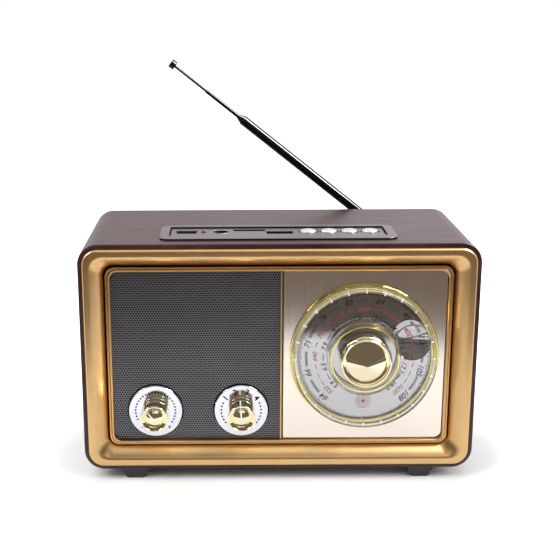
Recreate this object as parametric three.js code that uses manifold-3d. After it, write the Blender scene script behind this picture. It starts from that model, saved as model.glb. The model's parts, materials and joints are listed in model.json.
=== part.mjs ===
// Retro tabletop radio: a wooden sleeve with a moulded gold bezel, a perforated
// speaker grille, a big rotating tuning dial, two small knobs, a row of buttons
// on top and a telescopic antenna behind. Millimetres, +X right, +Y to the back, +Z up.

import * as THREE from 'three';
import { mergeVertices } from 'three/addons/utils/BufferGeometryUtils.js';
import Module from 'manifold-3d';

const wasm = await Module();
wasm.setup();

// ---------------------------------------------------------------- driving sizes

// clearances
const FIT = 0.3;
// how far a cutting tool, or a joined piece, runs past the face that it meets
const LAP = 1;

// wooden sleeve
const CABINET_WIDTH = 255;
const CABINET_HEIGHT = 151.3;
const CABINET_DEPTH = 118;
const CABINET_RADIUS = 13;
const WOOD_WALL = 7;
const WOOD_EDGE_ROUND = 0.8;

// front bezel moulding
const BEZEL_INSET = 3;
const BEZEL_PROUD = 3;
const BEZEL_SIDE = 17;
const BEZEL_TOP = 14.8;
const BEZEL_BOTTOM = 16.5;
const BEZEL_EDGE_ROUND = 1.3;
const BEZEL_BAND = 3;
const COVE_WIDTH = 8.3;
const COVE_DEPTH = 6;
const LIP_GROOVE = 0.7;
const LIP_BEAD_HEIGHT = 1.6;
const LIP_BEAD_ROOT = 0.35;
const BEAD_STEPS = 3;
const COVE_STEPS = 6;
const OPENING_RADIUS = 5;
const DIVIDER_WIDTH = 1;
const DIVIDER_FRONT_Y = 2.2;

// panels behind the bezel
const BAFFLE_FRONT_Y = 5;
const BAFFLE_THICKNESS = 2.5;
const BAFFLE_RIM_DEPTH = 9;
const BAFFLE_RIM_WALL = 2;
const GRILLE_THICKNESS = 0.8;
const GRILLE_TUCK = 2;
const HOLE_PITCH = 10.4;
const HOLE_DIAMETER = 6;
const HOLE_MARGIN = 1.2;
const PLATE_THICKNESS = 1.6;
const PLATE_BEVEL = 0.4;
const PLATE_GAP = 0.9;

// tuning dial, and how far its window stays from the opening's side and the plate's left edge
const DIAL_SIDE_GAP = 4.3;
const DIAL_LEFT_GAP = 3.9;
const SCALE_DISC_RADIUS = 44.8;
const SCALE_DISC_THICKNESS = 1;
const WINDOW_RADIUS = 48.2;
const WINDOW_FRONT_RADIUS = 46.5;
const WINDOW_PROUD = 9.4;
const WINDOW_THICKNESS = 2.2;
const WINDOW_SKIRT = 2.6;
const WINDOW_EDGE_ROUND = 0.8;
const NOTCH_COUNT = 24;
const NOTCH_WIDTH = 1.4;
const NOTCH_DEPTH = 0.8;
const OUTER_RING_WIDTH = 1.8;
const OUTER_RING_THICKNESS = 0.6;
const INNER_RING_RADIUS = 22.3;
const INNER_RING_WIDTH = 1.5;
const INNER_RING_THICKNESS = 1;
const LENS_RADIUS = 11.4;
const LENS_ORBIT = 32;
const LENS_DOME = 2.4;
const LENS_ANGLE = 69;
const SHAFT_RADIUS = 3;
const SHAFT_HOLE_GAP = 0.9;
const SHAFT_FLAT = 0.9;
const RING_SEGMENTS = 36;

// tuning knob
const TUNING_KNOB_RADIUS = 16.4;
const TUNING_KNOB_FRONT = 15.6;
const TUNING_CONE_RADIUS = 12.8;
const TUNING_CONE_SINK = 1.2;
const TUNING_CONE_HEIGHT = 8.4;
const KNURL_BAND = 2.6;
const KNURL_TEETH = 36;
const KNURL_DEPTH = 0.35;
const KNURL_CHAMFER = 1;
const TUNING_CONE_STEP = 0.6;
const TUNING_BORE_START = 6;

// small knobs and their scale discs, placed as shares of the grille's width
const VOLUME_SHARE = 0.251;
const BAND_SHARE = 0.7685;
const SMALL_DISC_BOTTOM_GAP = 2.6;
const SMALL_DISC_RADIUS = 17.5;
const SMALL_DISC_PROUD = 2.6;
const SMALL_DISC_ROUND = 0.5;
const DISC_GAP = 0.8;
const SMALL_KNOB_RADIUS = 9.1;
const SMALL_KNOB_FRONT = 16;
const SMALL_KNOB_COLLAR = 3.6;
const SMALL_RIM_WIDTH = 0.9;
const SMALL_CONE_RADIUS = 5.6;
const SMALL_CONE_SINK = 4.6;
const SMALL_CONE_HEIGHT = 6;
const SMALL_BORE_START = 7;
const SMALL_GROOVE = 0.4;
const SMALL_RIM_ROUND = 0.7;
const POINTER_WIDTH = 0.9;
const POINTER_DEPTH = 0.5;
const VOLUME_ANGLE = -50;
const BAND_ANGLE = -4;
const POT_RADIUS = 8.3;
const POT_DEPTH = 8;
const POT_BUSH_RADIUS = 4.8;
const POT_BUSH_LENGTH = 3;
const POT_TAB = 5;
const BORE_IN_CONTROL = 4;
const CAPACITOR_SIZE = 22;
const CAPACITOR_DEPTH = 13;
const CAPACITOR_BUSH_RADIUS = 6;
const CAPACITOR_BUSH_LENGTH = 4;

// loudspeaker
const SPEAKER_TOP_GAP = 1.5;
const SPEAKER_RADIUS = 37;
const SPEAKER_DEPTH = 17;
const SPEAKER_SHEET = 1.2;
const SPEAKER_FLANGE = 4;
const SPEAKER_STRAIGHT = 3;
const SPEAKER_WINDOW = 16;
const CONE_THROAT = 9;
const CONE_DEPTH = 12;
const CONE_PAPER = 0.8;
const CONE_CAP_RISE = 3;
const CONE_ROLL = 3.5;
const CONE_ROLL_HEIGHT = 1.5;
const MAGNET_RADIUS = 21;
const MAGNET_THICKNESS = 12;
const POLE_THICKNESS = 2;
const POLE_STEP = 1.5;

// top control panel
const PANEL_HALF_WIDTH = 76.3;
const PANEL_FRONT_Y = 11.5;
const PANEL_BACK_Y = 54.5;
const PANEL_RADIUS = 7;
const PANEL_PROUD = 1.2;
const PANEL_BEVEL = 0.5;
const TRAY_HALF_WIDTH = 70.4;
const TRAY_CENTRE_Y = 35.7;
const TRAY_DEPTH = 28.6;
const TRAY_SINK = 1;
const TRAY_FLOOR = 2;
const TRAY_WALL = 1.5;
const TRAY_SKIRT = 6;
const TRAY_RADIUS = 1;
const PANEL_BOSS_RADIUS = 2.4;
const PANEL_BOSS_INSET = 4;
const CONTROL_BOARD_DROP = 10;
const BOARD_THICKNESS = 1.6;
const ITEM_Y = 36.5;
const BUTTON_COUNT = 4;
const BUTTON_FIRST_X = 20.2;
const BUTTON_PITCH = 13.45;
const BUTTON_RADIUS = 5.4;
const BUTTON_PROUD = 0.9;
const BUTTON_DOME = 1;
const BUTTON_LENGTH = 7;
const BUTTON_TRAVEL = 1;
const KEY_SIZE = 6;
const LED_X = -48.4;
const LED_RADIUS = 1.5;
const LED_PROUD = 1;
const JACK_X = -37;
const JACK_RADIUS = 5.4;
const JACK_FLARE = 4.4;
const JACK_FLARE_DEPTH = 4.6;
const JACK_BORE = 1.8;
const JACK_TAPER = 0.6;
const JACK_PROUD = 0.3;
const SMALL_PORT_X = -59.4;
const SMALL_PORT_WIDTH = 12.3;
const SMALL_PORT_HEIGHT = 4.6;
const WIDE_PORT_X = 1.4;
const WIDE_PORT_Y = 34.5;
const WIDE_PORT_WIDTH = 16.4;
const WIDE_PORT_HEIGHT = 6.6;
const CARD_X = -18.4;
const CARD_Y = 42;
const CARD_WIDTH = 19.4;
const CARD_HEIGHT = 2.4;
const PORT_SHELL = 0.6;
const PORT_FLOOR = 1.5;
const PORT_CORNER = 0.4;
const TONGUE_THICKNESS = 1.6;
const TONGUE_SHARE = 0.72;
const TONGUE_GAP = 0.5;

// rear cover, battery bay and mains inlet
const COVER_THICKNESS = 3;
const COVER_SETBACK = 0.6;
const COVER_RIM_DEPTH = 8;
const COVER_RIM_WALL = 2;
const VENT_COUNT = 7;
const VENT_PITCH = 6;
const VENT_LENGTH = 62;
const VENT_HEIGHT = 2.2;
const VENT_MIDDLE_DROP = 42;
const SCREW_INSET_X = 9;
const SCREW_INSET_Z = 9;
const SCREW_HEAD_RADIUS = 3.2;
const SCREW_HEAD_HEIGHT = 1.2;
const SCREW_SHANK_RADIUS = 1.3;
const SCREW_LENGTH = 7;
const SCREW_STUD_RADIUS = 4;
const SCREW_RECESS = 3.6;
const SCREW_RECESS_WIDTH = 0.8;
const SCREW_RECESS_DEPTH = 0.7;
const BAY_X = 10;
const BAY_WIDTH = 92;
const BAY_BOTTOM_Z = 17;
const BAY_HEIGHT = 42;
const BAY_DEPTH = 26;
const BAY_WALL = 1.8;
const DOOR_THICKNESS = 2;
const DOOR_BARREL_RADIUS = 1.4;
const DOOR_LIP_GAP = 0.5;
const DOOR_PIN_RADIUS = 0.9;
const DOOR_PIN_LENGTH = 1.6;
const DOOR_RIB_SPACING = 48;
const DOOR_RIB_WIDTH = 2;
const DOOR_RIB_DEPTH = 2;
const SCOOP_RADIUS = 3;
const SCOOP_LENGTH = 18;
const SCOOP_DROP = 5;
const CELL_RADIUS = 9.3;
const CELL_LENGTH = 70;
const INLET_FROM_SIDE = 32.2;
const INLET_FROM_BOTTOM = 26.7;
const INLET_WIDTH = 15.4;
const INLET_HEIGHT = 8.6;
const INLET_RECESS = 12.5;
const INLET_FLOOR = 2;
const INLET_CORNER = 3.9;
const INLET_WALL = 1.8;
const INLET_FLANGE = 3;
const INLET_FLANGE_THICKNESS = 1.5;
const INLET_PIN_RADIUS = 1.2;
const INLET_PIN_LENGTH = 7;
const INLET_PIN_SPACING = 8.6;

// inside parts
const MAIN_BOARD_Y = 32;
const MAIN_BOARD_WIDTH = 96;
const MAIN_BOARD_HEIGHT = 92;
const POST_RADIUS = 3.5;
const POST_MARGIN = 1;
const CORE_WIDTH = 42;
const CORE_DEPTH = 20;
const CORE_HEIGHT = 35;
const COIL_BULGE = 7;
const COIL_SHARE = 0.64;
const COIL_RADIUS = 5;
const TRANSFORMER_FROM_SIDE = 42.5;
const TRANSFORMER_FROM_BACK = 44;
const CHIPS = [
  { x: -20, z: 12, width: 18, height: 8, tall: 2.5 },
  { x: 14, z: -10, width: 12, height: 12, tall: 2 },
  { x: 26, z: 22, width: 9, height: 9, tall: 10 },
];
const CAPACITOR_CANS = [
  { x: -30, z: -24, radius: 5, tall: 14 },
  { x: -14, z: -28, radius: 5, tall: 14 },
  { x: 32, z: -26, radius: 4, tall: 11 },
];
const ROD_RADIUS = 5;
const ROD_LENGTH = 110;
const ROD_OFFSET = -10;
const ROD_COIL_LENGTH = 34;
const ROD_COIL_RADIUS = 6.4;
const ROD_CLEARANCE = 2;
const CLIP_WIDTH = 6;
const CLIP_SPACING = 66;

// feet
const FOOT_HEIGHT = 8;
const FOOT_TOP = 18.7;
const FOOT_BOTTOM = 12.5;
const FOOT_FROM_SIDE = 33.2;
const FOOT_FRONT_GAP = 1;
const FOOT_RADIUS = 2.4;

// telescopic antenna
const ANTENNA_FROM_SIDE = 27.5;
const ANTENNA_DROP = 20;
const ANTENNA_LEAN = -51.65;
const ANTENNA_BASE_RADIUS = 9;
const ANTENNA_BASE_HEIGHT = 3.4;
const SWIVEL_RADIUS = 7.6;
const SWIVEL_PLATE = 1.8;
const TINE_RADIUS = 5.2;
const TINE_THICKNESS = 2.2;
const TONGUE_WIDTH = 5.8;
const TONGUE_RADIUS = 4;
const TILT_RISE = 4.6;
const HINGE_PIN_RADIUS = 1.5;
const TUBE_RADII = [3.5, 2.95, 2.4, 1.85, 1.25, 0.85];
const TUBE_WALL = 0.3;
const TUBE_START = 13;
const TUBE_REACH = 145.7;
const NESTED_STEP = 1.3;
const FIFTH_REACH = 178.7;
const TIP_REACH = 210.3;
const TUBE_PLUG = 5;
const TUBE_COLLAR = 5;
const TUBE_CRIMP = 0.3;
const NEST_SETBACK = 8;
const TIP_CAP_RADIUS = 3.4;
const TIP_CAP_LENGTH = 4.2;
const TIP_CAP_ROUND = 0.4;
const SIXTH_LENGTH = 118;

// roundness of the facets
const ROUND_LARGE = 48;
const ROUND_MEDIUM = 24;
const ROUND_BODY = 16;
const ROUND_SMALL = 12;
const ROUND_HIDDEN = 10;
const CORNER_STEPS = 4;

// ---------------------------------------------------------------- derived places

const HALF_WIDTH = CABINET_WIDTH / 2;
const INNER_HALF_WIDTH = HALF_WIDTH - WOOD_WALL;
const INNER_BOTTOM = WOOD_WALL;
const INNER_TOP = CABINET_HEIGHT - WOOD_WALL;
const INNER_RADIUS = CABINET_RADIUS - WOOD_WALL;

const OPENING_HALF_WIDTH = HALF_WIDTH - BEZEL_INSET - BEZEL_SIDE;
const OPENING_BOTTOM = BEZEL_INSET + BEZEL_BOTTOM;
const OPENING_TOP = CABINET_HEIGHT - BEZEL_INSET - BEZEL_TOP;

const GRILLE_FRONT_Y = BAFFLE_FRONT_Y - GRILLE_THICKNESS;
const PLATE_FRONT_Y = BAFFLE_FRONT_Y - PLATE_THICKNESS;
const BAFFLE_BACK_Y = BAFFLE_FRONT_Y + BAFFLE_THICKNESS;
const SCALE_FACE_Y = PLATE_FRONT_Y - SCALE_DISC_THICKNESS;
const WINDOW_FRONT_Y = PLATE_FRONT_Y - WINDOW_PROUD;
const WINDOW_BACK_Y = WINDOW_FRONT_Y + WINDOW_THICKNESS;
const SMALL_FACE_Y = BAFFLE_FRONT_Y - SMALL_DISC_PROUD;

const DIAL_X = OPENING_HALF_WIDTH - DIAL_SIDE_GAP - WINDOW_RADIUS;
const DIAL_Z = (OPENING_BOTTOM + OPENING_TOP) / 2;
const PLATE_LEFT = DIAL_X - WINDOW_RADIUS - DIAL_LEFT_GAP;
const PLATE_RIGHT = OPENING_HALF_WIDTH - FIT;
const DIVIDER_X = PLATE_LEFT - PLATE_GAP - DIVIDER_WIDTH / 2;
const GRILLE_LEFT = -OPENING_HALF_WIDTH - GRILLE_TUCK;
const GRILLE_RIGHT = DIVIDER_X - DIVIDER_WIDTH / 2 - FIT;

const grilleShareX = (share) => -OPENING_HALF_WIDTH + share * (GRILLE_RIGHT + OPENING_HALF_WIDTH);
const VOLUME_X = grilleShareX(VOLUME_SHARE);
const BAND_X = grilleShareX(BAND_SHARE);
const SMALL_KNOB_Z = OPENING_BOTTOM + SMALL_DISC_BOTTOM_GAP + SMALL_DISC_RADIUS;
const SPEAKER_X = grilleShareX(1 / 2);
const SPEAKER_Z = OPENING_TOP - SPEAKER_TOP_GAP - SPEAKER_RADIUS;

const PANEL_TOP = CABINET_HEIGHT + PANEL_PROUD;
const FLOOR_TOP = PANEL_TOP - TRAY_SINK;
const FLOOR_BOTTOM = FLOOR_TOP - TRAY_FLOOR;
const CONTROL_BOARD_TOP = CABINET_HEIGHT - CONTROL_BOARD_DROP;

const COVER_BACK_Y = CABINET_DEPTH - COVER_SETBACK;
const COVER_FRONT_Y = COVER_BACK_Y - COVER_THICKNESS;
const COVER_HALF_WIDTH = INNER_HALF_WIDTH - FIT;
const COVER_BOTTOM = INNER_BOTTOM + FIT;
const COVER_TOP = INNER_TOP - FIT;
const COVER_RADIUS = INNER_RADIUS - FIT;
const SHAFT_HOLE = SHAFT_RADIUS + SHAFT_HOLE_GAP;
const SPEAKER_LIP = SPEAKER_RADIUS - SPEAKER_FLANGE;
const VENT_Z = COVER_TOP - VENT_MIDDLE_DROP - ((VENT_COUNT - 1) / 2) * VENT_PITCH;
const INLET_X = -COVER_HALF_WIDTH + INLET_FROM_SIDE;
const INLET_Z = COVER_BOTTOM + INLET_FROM_BOTTOM;

const FOOT_X = HALF_WIDTH - FOOT_FROM_SIDE;
const TRANSFORMER_X = -INNER_HALF_WIDTH + TRANSFORMER_FROM_SIDE;
const TRANSFORMER_Y = CABINET_DEPTH - TRANSFORMER_FROM_BACK;
const ROD_X = DIAL_X + ROD_OFFSET;

const ANTENNA_X = COVER_HALF_WIDTH - ANTENNA_FROM_SIDE;
const ANTENNA_Z = COVER_TOP - ANTENNA_DROP;
const SWIVEL_BACK_Y = COVER_BACK_Y + ANTENNA_BASE_HEIGHT + FIT;
const TILT_Y = SWIVEL_BACK_Y + SWIVEL_PLATE + TILT_RISE;

// ---------------------------------------------------------------- materials

const paint = (color, roughness, metalness) => ({ color, roughness, metalness });
const FINISH = {
  wood: paint(0x4a2a2c, 0.42, 0),
  gold: paint(0xc9a878, 0.28, 1),
  polishedGold: paint(0xd8b36a, 0.1, 1),
  gunmetal: paint(0x6b675f, 0.4, 0.9),
  aluminium: paint(0xcdbba8, 0.35, 1),
  scale: paint(0xd5d3d6, 0.25, 0.2),
  clear: paint(0xe8edf0, 0.05, 0),
  white: paint(0xf2f1f3, 0.3, 0),
  black: paint(0x1d1d1f, 0.6, 0),
  taupe: paint(0x7c706c, 0.4, 0.5),
  silver: paint(0xd9dadd, 0.2, 0.9),
  chrome: paint(0xc8cacc, 0.08, 1),
  steel: paint(0x9a9c9f, 0.35, 1),
  red: paint(0x9a1418, 0.3, 0),
  rubber: paint(0x3a393b, 0.8, 0),
  board: paint(0x2d5a3a, 0.6, 0),
  paper: paint(0x2a2828, 0.9, 0),
  ferrite: paint(0x3c3a3b, 0.7, 0),
  wrap: paint(0x3a64a8, 0.4, 0),
};

// ---------------------------------------------------------------- solids

/** Turns a closed geometry into a solid, with its faces pointing out. */
function solid(geometry) {
  const bare = geometry.index ? geometry.toNonIndexed() : geometry.clone();
  bare.deleteAttribute('normal');
  bare.deleteAttribute('uv');
  const merged = mergeVertices(bare, 1e-4);
  const positions = merged.attributes.position.array;
  const faces = [];
  for (let i = 0; i < merged.index.count; i += 3) {
    const [a, b, c] = [merged.index.array[i], merged.index.array[i + 1], merged.index.array[i + 2]];
    if (a !== b && b !== c && c !== a) faces.push([a, b, c]);
  }
  const inward = signedVolume(positions, faces) < 0;
  const triVerts = Uint32Array.from(faces.flatMap(([a, b, c]) => (inward ? [a, c, b] : [a, b, c])));
  return new wasm.Manifold(new wasm.Mesh({ numProp: 3, vertProperties: positions, triVerts }));
}

/** Volume inside the faces, negative where they point inwards. */
function signedVolume(positions, faces) {
  const [a, b, c] = [new THREE.Vector3(), new THREE.Vector3(), new THREE.Vector3()];
  let total = 0;
  for (const [i, j, k] of faces) {
    a.fromArray(positions, i * 3);
    b.fromArray(positions, j * 3);
    c.fromArray(positions, k * 3);
    total += a.dot(b.cross(c));
  }
  return total / 6;
}

/** Joins several solids into one. */
const fuse = (first, ...rest) => rest.reduce((whole, piece) => whole.add(piece), first);

/** Cuts several solids out of the first. */
const cut = (body, ...tools) => tools.reduce((left, tool) => left.subtract(tool), body);

/** The geometry of a finished solid. */
function toGeometry(manifold) {
  const mesh = manifold.getMesh();
  const geometry = new THREE.BufferGeometry();
  geometry.setAttribute('position', new THREE.BufferAttribute(mesh.vertProperties, 3));
  geometry.setIndex(new THREE.BufferAttribute(mesh.triVerts, 1));
  geometry.computeVertexNormals();
  return geometry;
}

/** A named piece of the radio. */
function piece(name, finish, body) {
  const mesh = new THREE.Mesh(toGeometry(body), new THREE.MeshStandardMaterial(finish));
  mesh.name = name;
  return mesh;
}

/** An axis-aligned block between two corners. */
function block(x0, x1, y0, y1, z0, z1) {
  const geometry = new THREE.BoxGeometry(x1 - x0, y1 - y0, z1 - z0);
  geometry.translate((x0 + x1) / 2, (y0 + y1) / 2, (z0 + z1) / 2);
  return solid(geometry);
}

/** A shape drawn in X and Z, drawn out along Y. */
function prismY(shape, y0, y1, curveSegments = 3) {
  const geometry = new THREE.ExtrudeGeometry(shape, { depth: y1 - y0, bevelEnabled: false, curveSegments });
  geometry.rotateX(Math.PI / 2);
  geometry.translate(0, y1, 0);
  return solid(geometry);
}

/** A shape drawn in X and Y, drawn out along Z. */
function prismZ(shape, z0, z1, curveSegments = 3) {
  const geometry = new THREE.ExtrudeGeometry(shape, { depth: z1 - z0, bevelEnabled: false, curveSegments });
  geometry.translate(0, 0, z0);
  return solid(geometry);
}

/** A profile of [radius, y] pairs turned round a line along Y. */
function turnedY(profile, x, z, segments = ROUND_MEDIUM) {
  const points = profile.map(([r, y]) => new THREE.Vector2(r, y));
  const geometry = new THREE.LatheGeometry(points, segments);
  geometry.translate(x, 0, z);
  return solid(geometry);
}

/** A profile of [radius, z] pairs turned round a line along Z. */
function turnedZ(profile, x, y, segments = ROUND_MEDIUM) {
  const points = profile.map(([r, z]) => new THREE.Vector2(r, z));
  const geometry = new THREE.LatheGeometry(points, segments);
  geometry.rotateX(Math.PI / 2);
  geometry.translate(x, y, 0);
  return solid(geometry);
}

/** A cylinder along Y. */
const rodY = (radius, x, z, y0, y1, segments = ROUND_SMALL) =>
  turnedY([[0, y0], [radius, y0], [radius, y1], [0, y1]], x, z, segments);

/** A cylinder along Z. */
const rodZ = (radius, x, y, z0, z1, segments = ROUND_SMALL) =>
  turnedZ([[0, z0], [radius, z0], [radius, z1], [0, z1]], x, y, segments);

/** A cylinder along X. */
function rodX(radius, y, z, x0, x1, segments = ROUND_SMALL) {
  const geometry = new THREE.CylinderGeometry(radius, radius, x1 - x0, segments);
  geometry.rotateZ(Math.PI / 2);
  geometry.translate((x0 + x1) / 2, y, z);
  return solid(geometry);
}

/** A rectangle with one radius for its left corners and one for its right corners. */
function panelShape(x0, x1, z0, z1, leftRadius, rightRadius = leftRadius) {
  const shape = new THREE.Shape();
  shape.moveTo(x0 + leftRadius, z0);
  shape.lineTo(x1 - rightRadius, z0);
  if (rightRadius > 0) shape.absarc(x1 - rightRadius, z0 + rightRadius, rightRadius, -Math.PI / 2, 0);
  shape.lineTo(x1, z1 - rightRadius);
  if (rightRadius > 0) shape.absarc(x1 - rightRadius, z1 - rightRadius, rightRadius, 0, Math.PI / 2);
  shape.lineTo(x0 + leftRadius, z1);
  if (leftRadius > 0) shape.absarc(x0 + leftRadius, z1 - leftRadius, leftRadius, Math.PI / 2, Math.PI);
  shape.lineTo(x0, z0 + leftRadius);
  if (leftRadius > 0) shape.absarc(x0 + leftRadius, z0 + leftRadius, leftRadius, Math.PI, Math.PI * 1.5);
  return shape;
}

/** One closed loop of points round a rounded rectangle. */
function loop(x0, x1, z0, z1, radius, place) {
  const corners = [[x1, z0, -90], [x1, z1, 0], [x0, z1, 90], [x0, z0, 180]];
  return corners.flatMap(([x, z, start]) => {
    const cx = x + (x > (x0 + x1) / 2 ? -radius : radius);
    const cz = z + (z > (z0 + z1) / 2 ? -radius : radius);
    return Array.from({ length: CORNER_STEPS + 1 }, (_, i) => {
      const angle = THREE.MathUtils.degToRad(start + (90 * i) / CORNER_STEPS);
      return place(cx + radius * Math.cos(angle), cz + radius * Math.sin(angle));
    });
  });
}

/** Skins a row of loops: round and round when closed, capped at both ends when not. */
function skin(loops, closed) {
  const count = loops[0].length;
  const positions = loops.flat().flatMap((p) => [p.x, p.y, p.z]);
  const faces = [];
  const rows = closed ? loops.length : loops.length - 1;
  for (let row = 0; row < rows; row++) {
    const next = (row + 1) % loops.length;
    for (let i = 0; i < count; i++) {
      const j = (i + 1) % count;
      faces.push(row * count + i, row * count + j, next * count + j);
      faces.push(row * count + i, next * count + j, next * count + i);
    }
  }
  for (let i = 1; i < count - 1 && !closed; i++) {
    const last = (loops.length - 1) * count;
    faces.push(0, i + 1, i);
    faces.push(last, last + i, last + i + 1);
  }
  const geometry = new THREE.BufferGeometry();
  geometry.setAttribute('position', new THREE.Float32BufferAttribute(positions, 3));
  geometry.setIndex(faces);
  return solid(geometry);
}

/** Points on a quarter ellipse from the end of one radius to the end of the other. */
function quarter(x0, y0, x1, y1, steps, hollow) {
  return Array.from({ length: steps + 1 }, (_, i) => {
    const angle = (Math.PI / 2) * (i / steps);
    const [s, c] = [Math.sin(angle), 1 - Math.cos(angle)];
    return hollow ? [x0 + (x1 - x0) * c, y0 + (y1 - y0) * s] : [x0 + (x1 - x0) * s, y0 + (y1 - y0) * c];
  });
}

// ---------------------------------------------------------------- cabinet and bezel

/** The wooden sleeve, open at the front and the back, with the cut-out for the top panel. */
function cabinetBody() {
  const place = (y) => (x, z) => new THREE.Vector3(x, y, z);
  const outer = (y, inset) =>
    loop(-HALF_WIDTH + inset, HALF_WIDTH - inset, inset, CABINET_HEIGHT - inset, CABINET_RADIUS - inset,
      place(y));
  const inner = (y) =>
    loop(-INNER_HALF_WIDTH, INNER_HALF_WIDTH, INNER_BOTTOM, INNER_TOP, INNER_RADIUS, place(y));
  const edge = quarter(0, WOOD_EDGE_ROUND, WOOD_EDGE_ROUND, 0, 2, true);
  const sleeve = skin([
    ...edge.map(([inset, y]) => outer(y, inset)),
    inner(0),
    inner(CABINET_DEPTH),
    ...edge.reverse().map(([inset, y]) => outer(CABINET_DEPTH - y, inset)),
  ], true);
  const halfX = TRAY_HALF_WIDTH + TRAY_WALL + FIT;
  const halfY = TRAY_DEPTH / 2 + TRAY_WALL + FIT;
  const slot = block(-halfX, halfX, TRAY_CENTRE_Y - halfY, TRAY_CENTRE_Y + halfY, INNER_TOP - LAP, PANEL_TOP);
  return cut(sleeve, slot);
}

/** How far a point of the moulding lies in from one side of the bezel. */
function bezelInset(across, side, straight) {
  if (across <= straight) return across;
  return straight + ((across - straight) * (side - straight)) / (BEZEL_SIDE - straight);
}

/** The moulding's section, from its outer back corner over the front to the opening. */
function bezelSection(tongue) {
  const coveStart = BEZEL_EDGE_ROUND + BEZEL_BAND;
  const coveEnd = coveStart + COVE_WIDTH;
  const coveFloor = COVE_DEPTH - BEZEL_PROUD;
  const lipStart = coveEnd + LIP_GROOVE;
  const beadWidth = (BEZEL_SIDE - lipStart) / 2;
  const beadRoot = LIP_BEAD_HEIGHT * LIP_BEAD_ROOT;
  const bead = (from) => Array.from({ length: BEAD_STEPS + 1 }, (_, i) => {
    const t = i / BEAD_STEPS;
    const height = beadRoot + (LIP_BEAD_HEIGHT - beadRoot) * Math.sin(Math.PI * t);
    return [from + beadWidth * t, coveFloor - height];
  });
  return [
    [0, 0],
    ...quarter(0, BEZEL_EDGE_ROUND - BEZEL_PROUD, BEZEL_EDGE_ROUND, -BEZEL_PROUD, 3, true),
    ...quarter(coveStart, -BEZEL_PROUD, coveEnd, coveFloor, COVE_STEPS, true),
    [lipStart, coveFloor],
    ...bead(lipStart),
    ...bead(lipStart + beadWidth).slice(1),
    [BEZEL_SIDE, GRILLE_FRONT_Y],
    [tongue, GRILLE_FRONT_Y],
    [tongue, 0],
  ];
}

/** The gold front moulding with the upright bar between the grille and the dial plate. */
function bezelBody() {
  const tongue = WOOD_WALL - BEZEL_INSET + FIT;
  const loops = bezelSection(tongue).map(([across, y]) => {
    const side = BEZEL_INSET + across;
    const top = BEZEL_INSET + bezelInset(across, BEZEL_TOP, tongue);
    const bottom = BEZEL_INSET + bezelInset(across, BEZEL_BOTTOM, tongue);
    const outerRadius = CABINET_RADIUS - BEZEL_INSET;
    const radius = outerRadius + ((OPENING_RADIUS - outerRadius) * across) / BEZEL_SIDE;
    return loop(-HALF_WIDTH + side, HALF_WIDTH - side, bottom, CABINET_HEIGHT - top, radius,
      (x, z) => new THREE.Vector3(x, y, z));
  });
  const bar = block(DIVIDER_X - DIVIDER_WIDTH / 2, DIVIDER_X + DIVIDER_WIDTH / 2, DIVIDER_FRONT_Y,
    BAFFLE_FRONT_Y, OPENING_BOTTOM - LAP, OPENING_TOP + LAP);
  return fuse(skin(loops, true), bar);
}

/** Tapered feet under the four corners. */
function footBody(x, y) {
  const ring = (size, z) => loop(x - size / 2, x + size / 2, y - size / 2, y + size / 2, FOOT_RADIUS,
    (px, py) => new THREE.Vector3(px, py, z));
  return skin([ring(FOOT_TOP, 0), ring(FOOT_BOTTOM, -FOOT_HEIGHT)], false);
}

function footPieces() {
  const inset = FOOT_FRONT_GAP + FOOT_TOP / 2;
  const places = { front_left: [-FOOT_X, inset], front_right: [FOOT_X, inset],
    rear_left: [-FOOT_X, CABINET_DEPTH - inset], rear_right: [FOOT_X, CABINET_DEPTH - inset] };
  return Object.entries(places).map(([corner, [x, y]]) =>
    piece(`foot_${corner}`, FINISH.rubber, footBody(x, y)));
}

// ---------------------------------------------------------------- front panels

/** Where the four posts for the main board stand. */
function boardPosts() {
  const halfX = MAIN_BOARD_WIDTH / 2 - POST_RADIUS - POST_MARGIN;
  const halfZ = MAIN_BOARD_HEIGHT / 2 - POST_RADIUS - POST_MARGIN;
  return [-1, 1].flatMap((sx) => [-1, 1].map((sz) => [DIAL_X + sx * halfX, DIAL_Z + sz * halfZ]));
}

/** The outline of what fits inside the wooden sleeve, drawn in by an inset. */
const sleeveShape = (inset) => panelShape(-COVER_HALF_WIDTH + inset, COVER_HALF_WIDTH - inset,
  COVER_BOTTOM + inset, COVER_TOP - inset, COVER_RADIUS);

/** The plastic board behind the front: it carries the grille, plate, speaker and controls. */
function baffleBody() {
  const rimBack = BAFFLE_BACK_Y + BAFFLE_RIM_DEPTH;
  const pan = cut(
    prismY(sleeveShape(0), BAFFLE_FRONT_Y, rimBack),
    prismY(sleeveShape(BAFFLE_RIM_WALL), BAFFLE_BACK_Y, rimBack + LAP),
  );
  const posts = boardPosts().map(([x, z]) =>
    rodY(POST_RADIUS, x, z, BAFFLE_BACK_Y - LAP, MAIN_BOARD_Y, ROUND_HIDDEN));
  const through = (radius, x, z, segments) =>
    rodY(radius, x, z, BAFFLE_FRONT_Y - LAP, BAFFLE_BACK_Y + LAP, segments);
  return cut(fuse(pan, ...posts),
    through(SPEAKER_LIP, SPEAKER_X, SPEAKER_Z, ROUND_MEDIUM),
    through(SHAFT_HOLE, DIAL_X, DIAL_Z),
    through(SHAFT_HOLE, VOLUME_X, SMALL_KNOB_Z),
    through(SHAFT_HOLE, BAND_X, SMALL_KNOB_Z));
}

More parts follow.
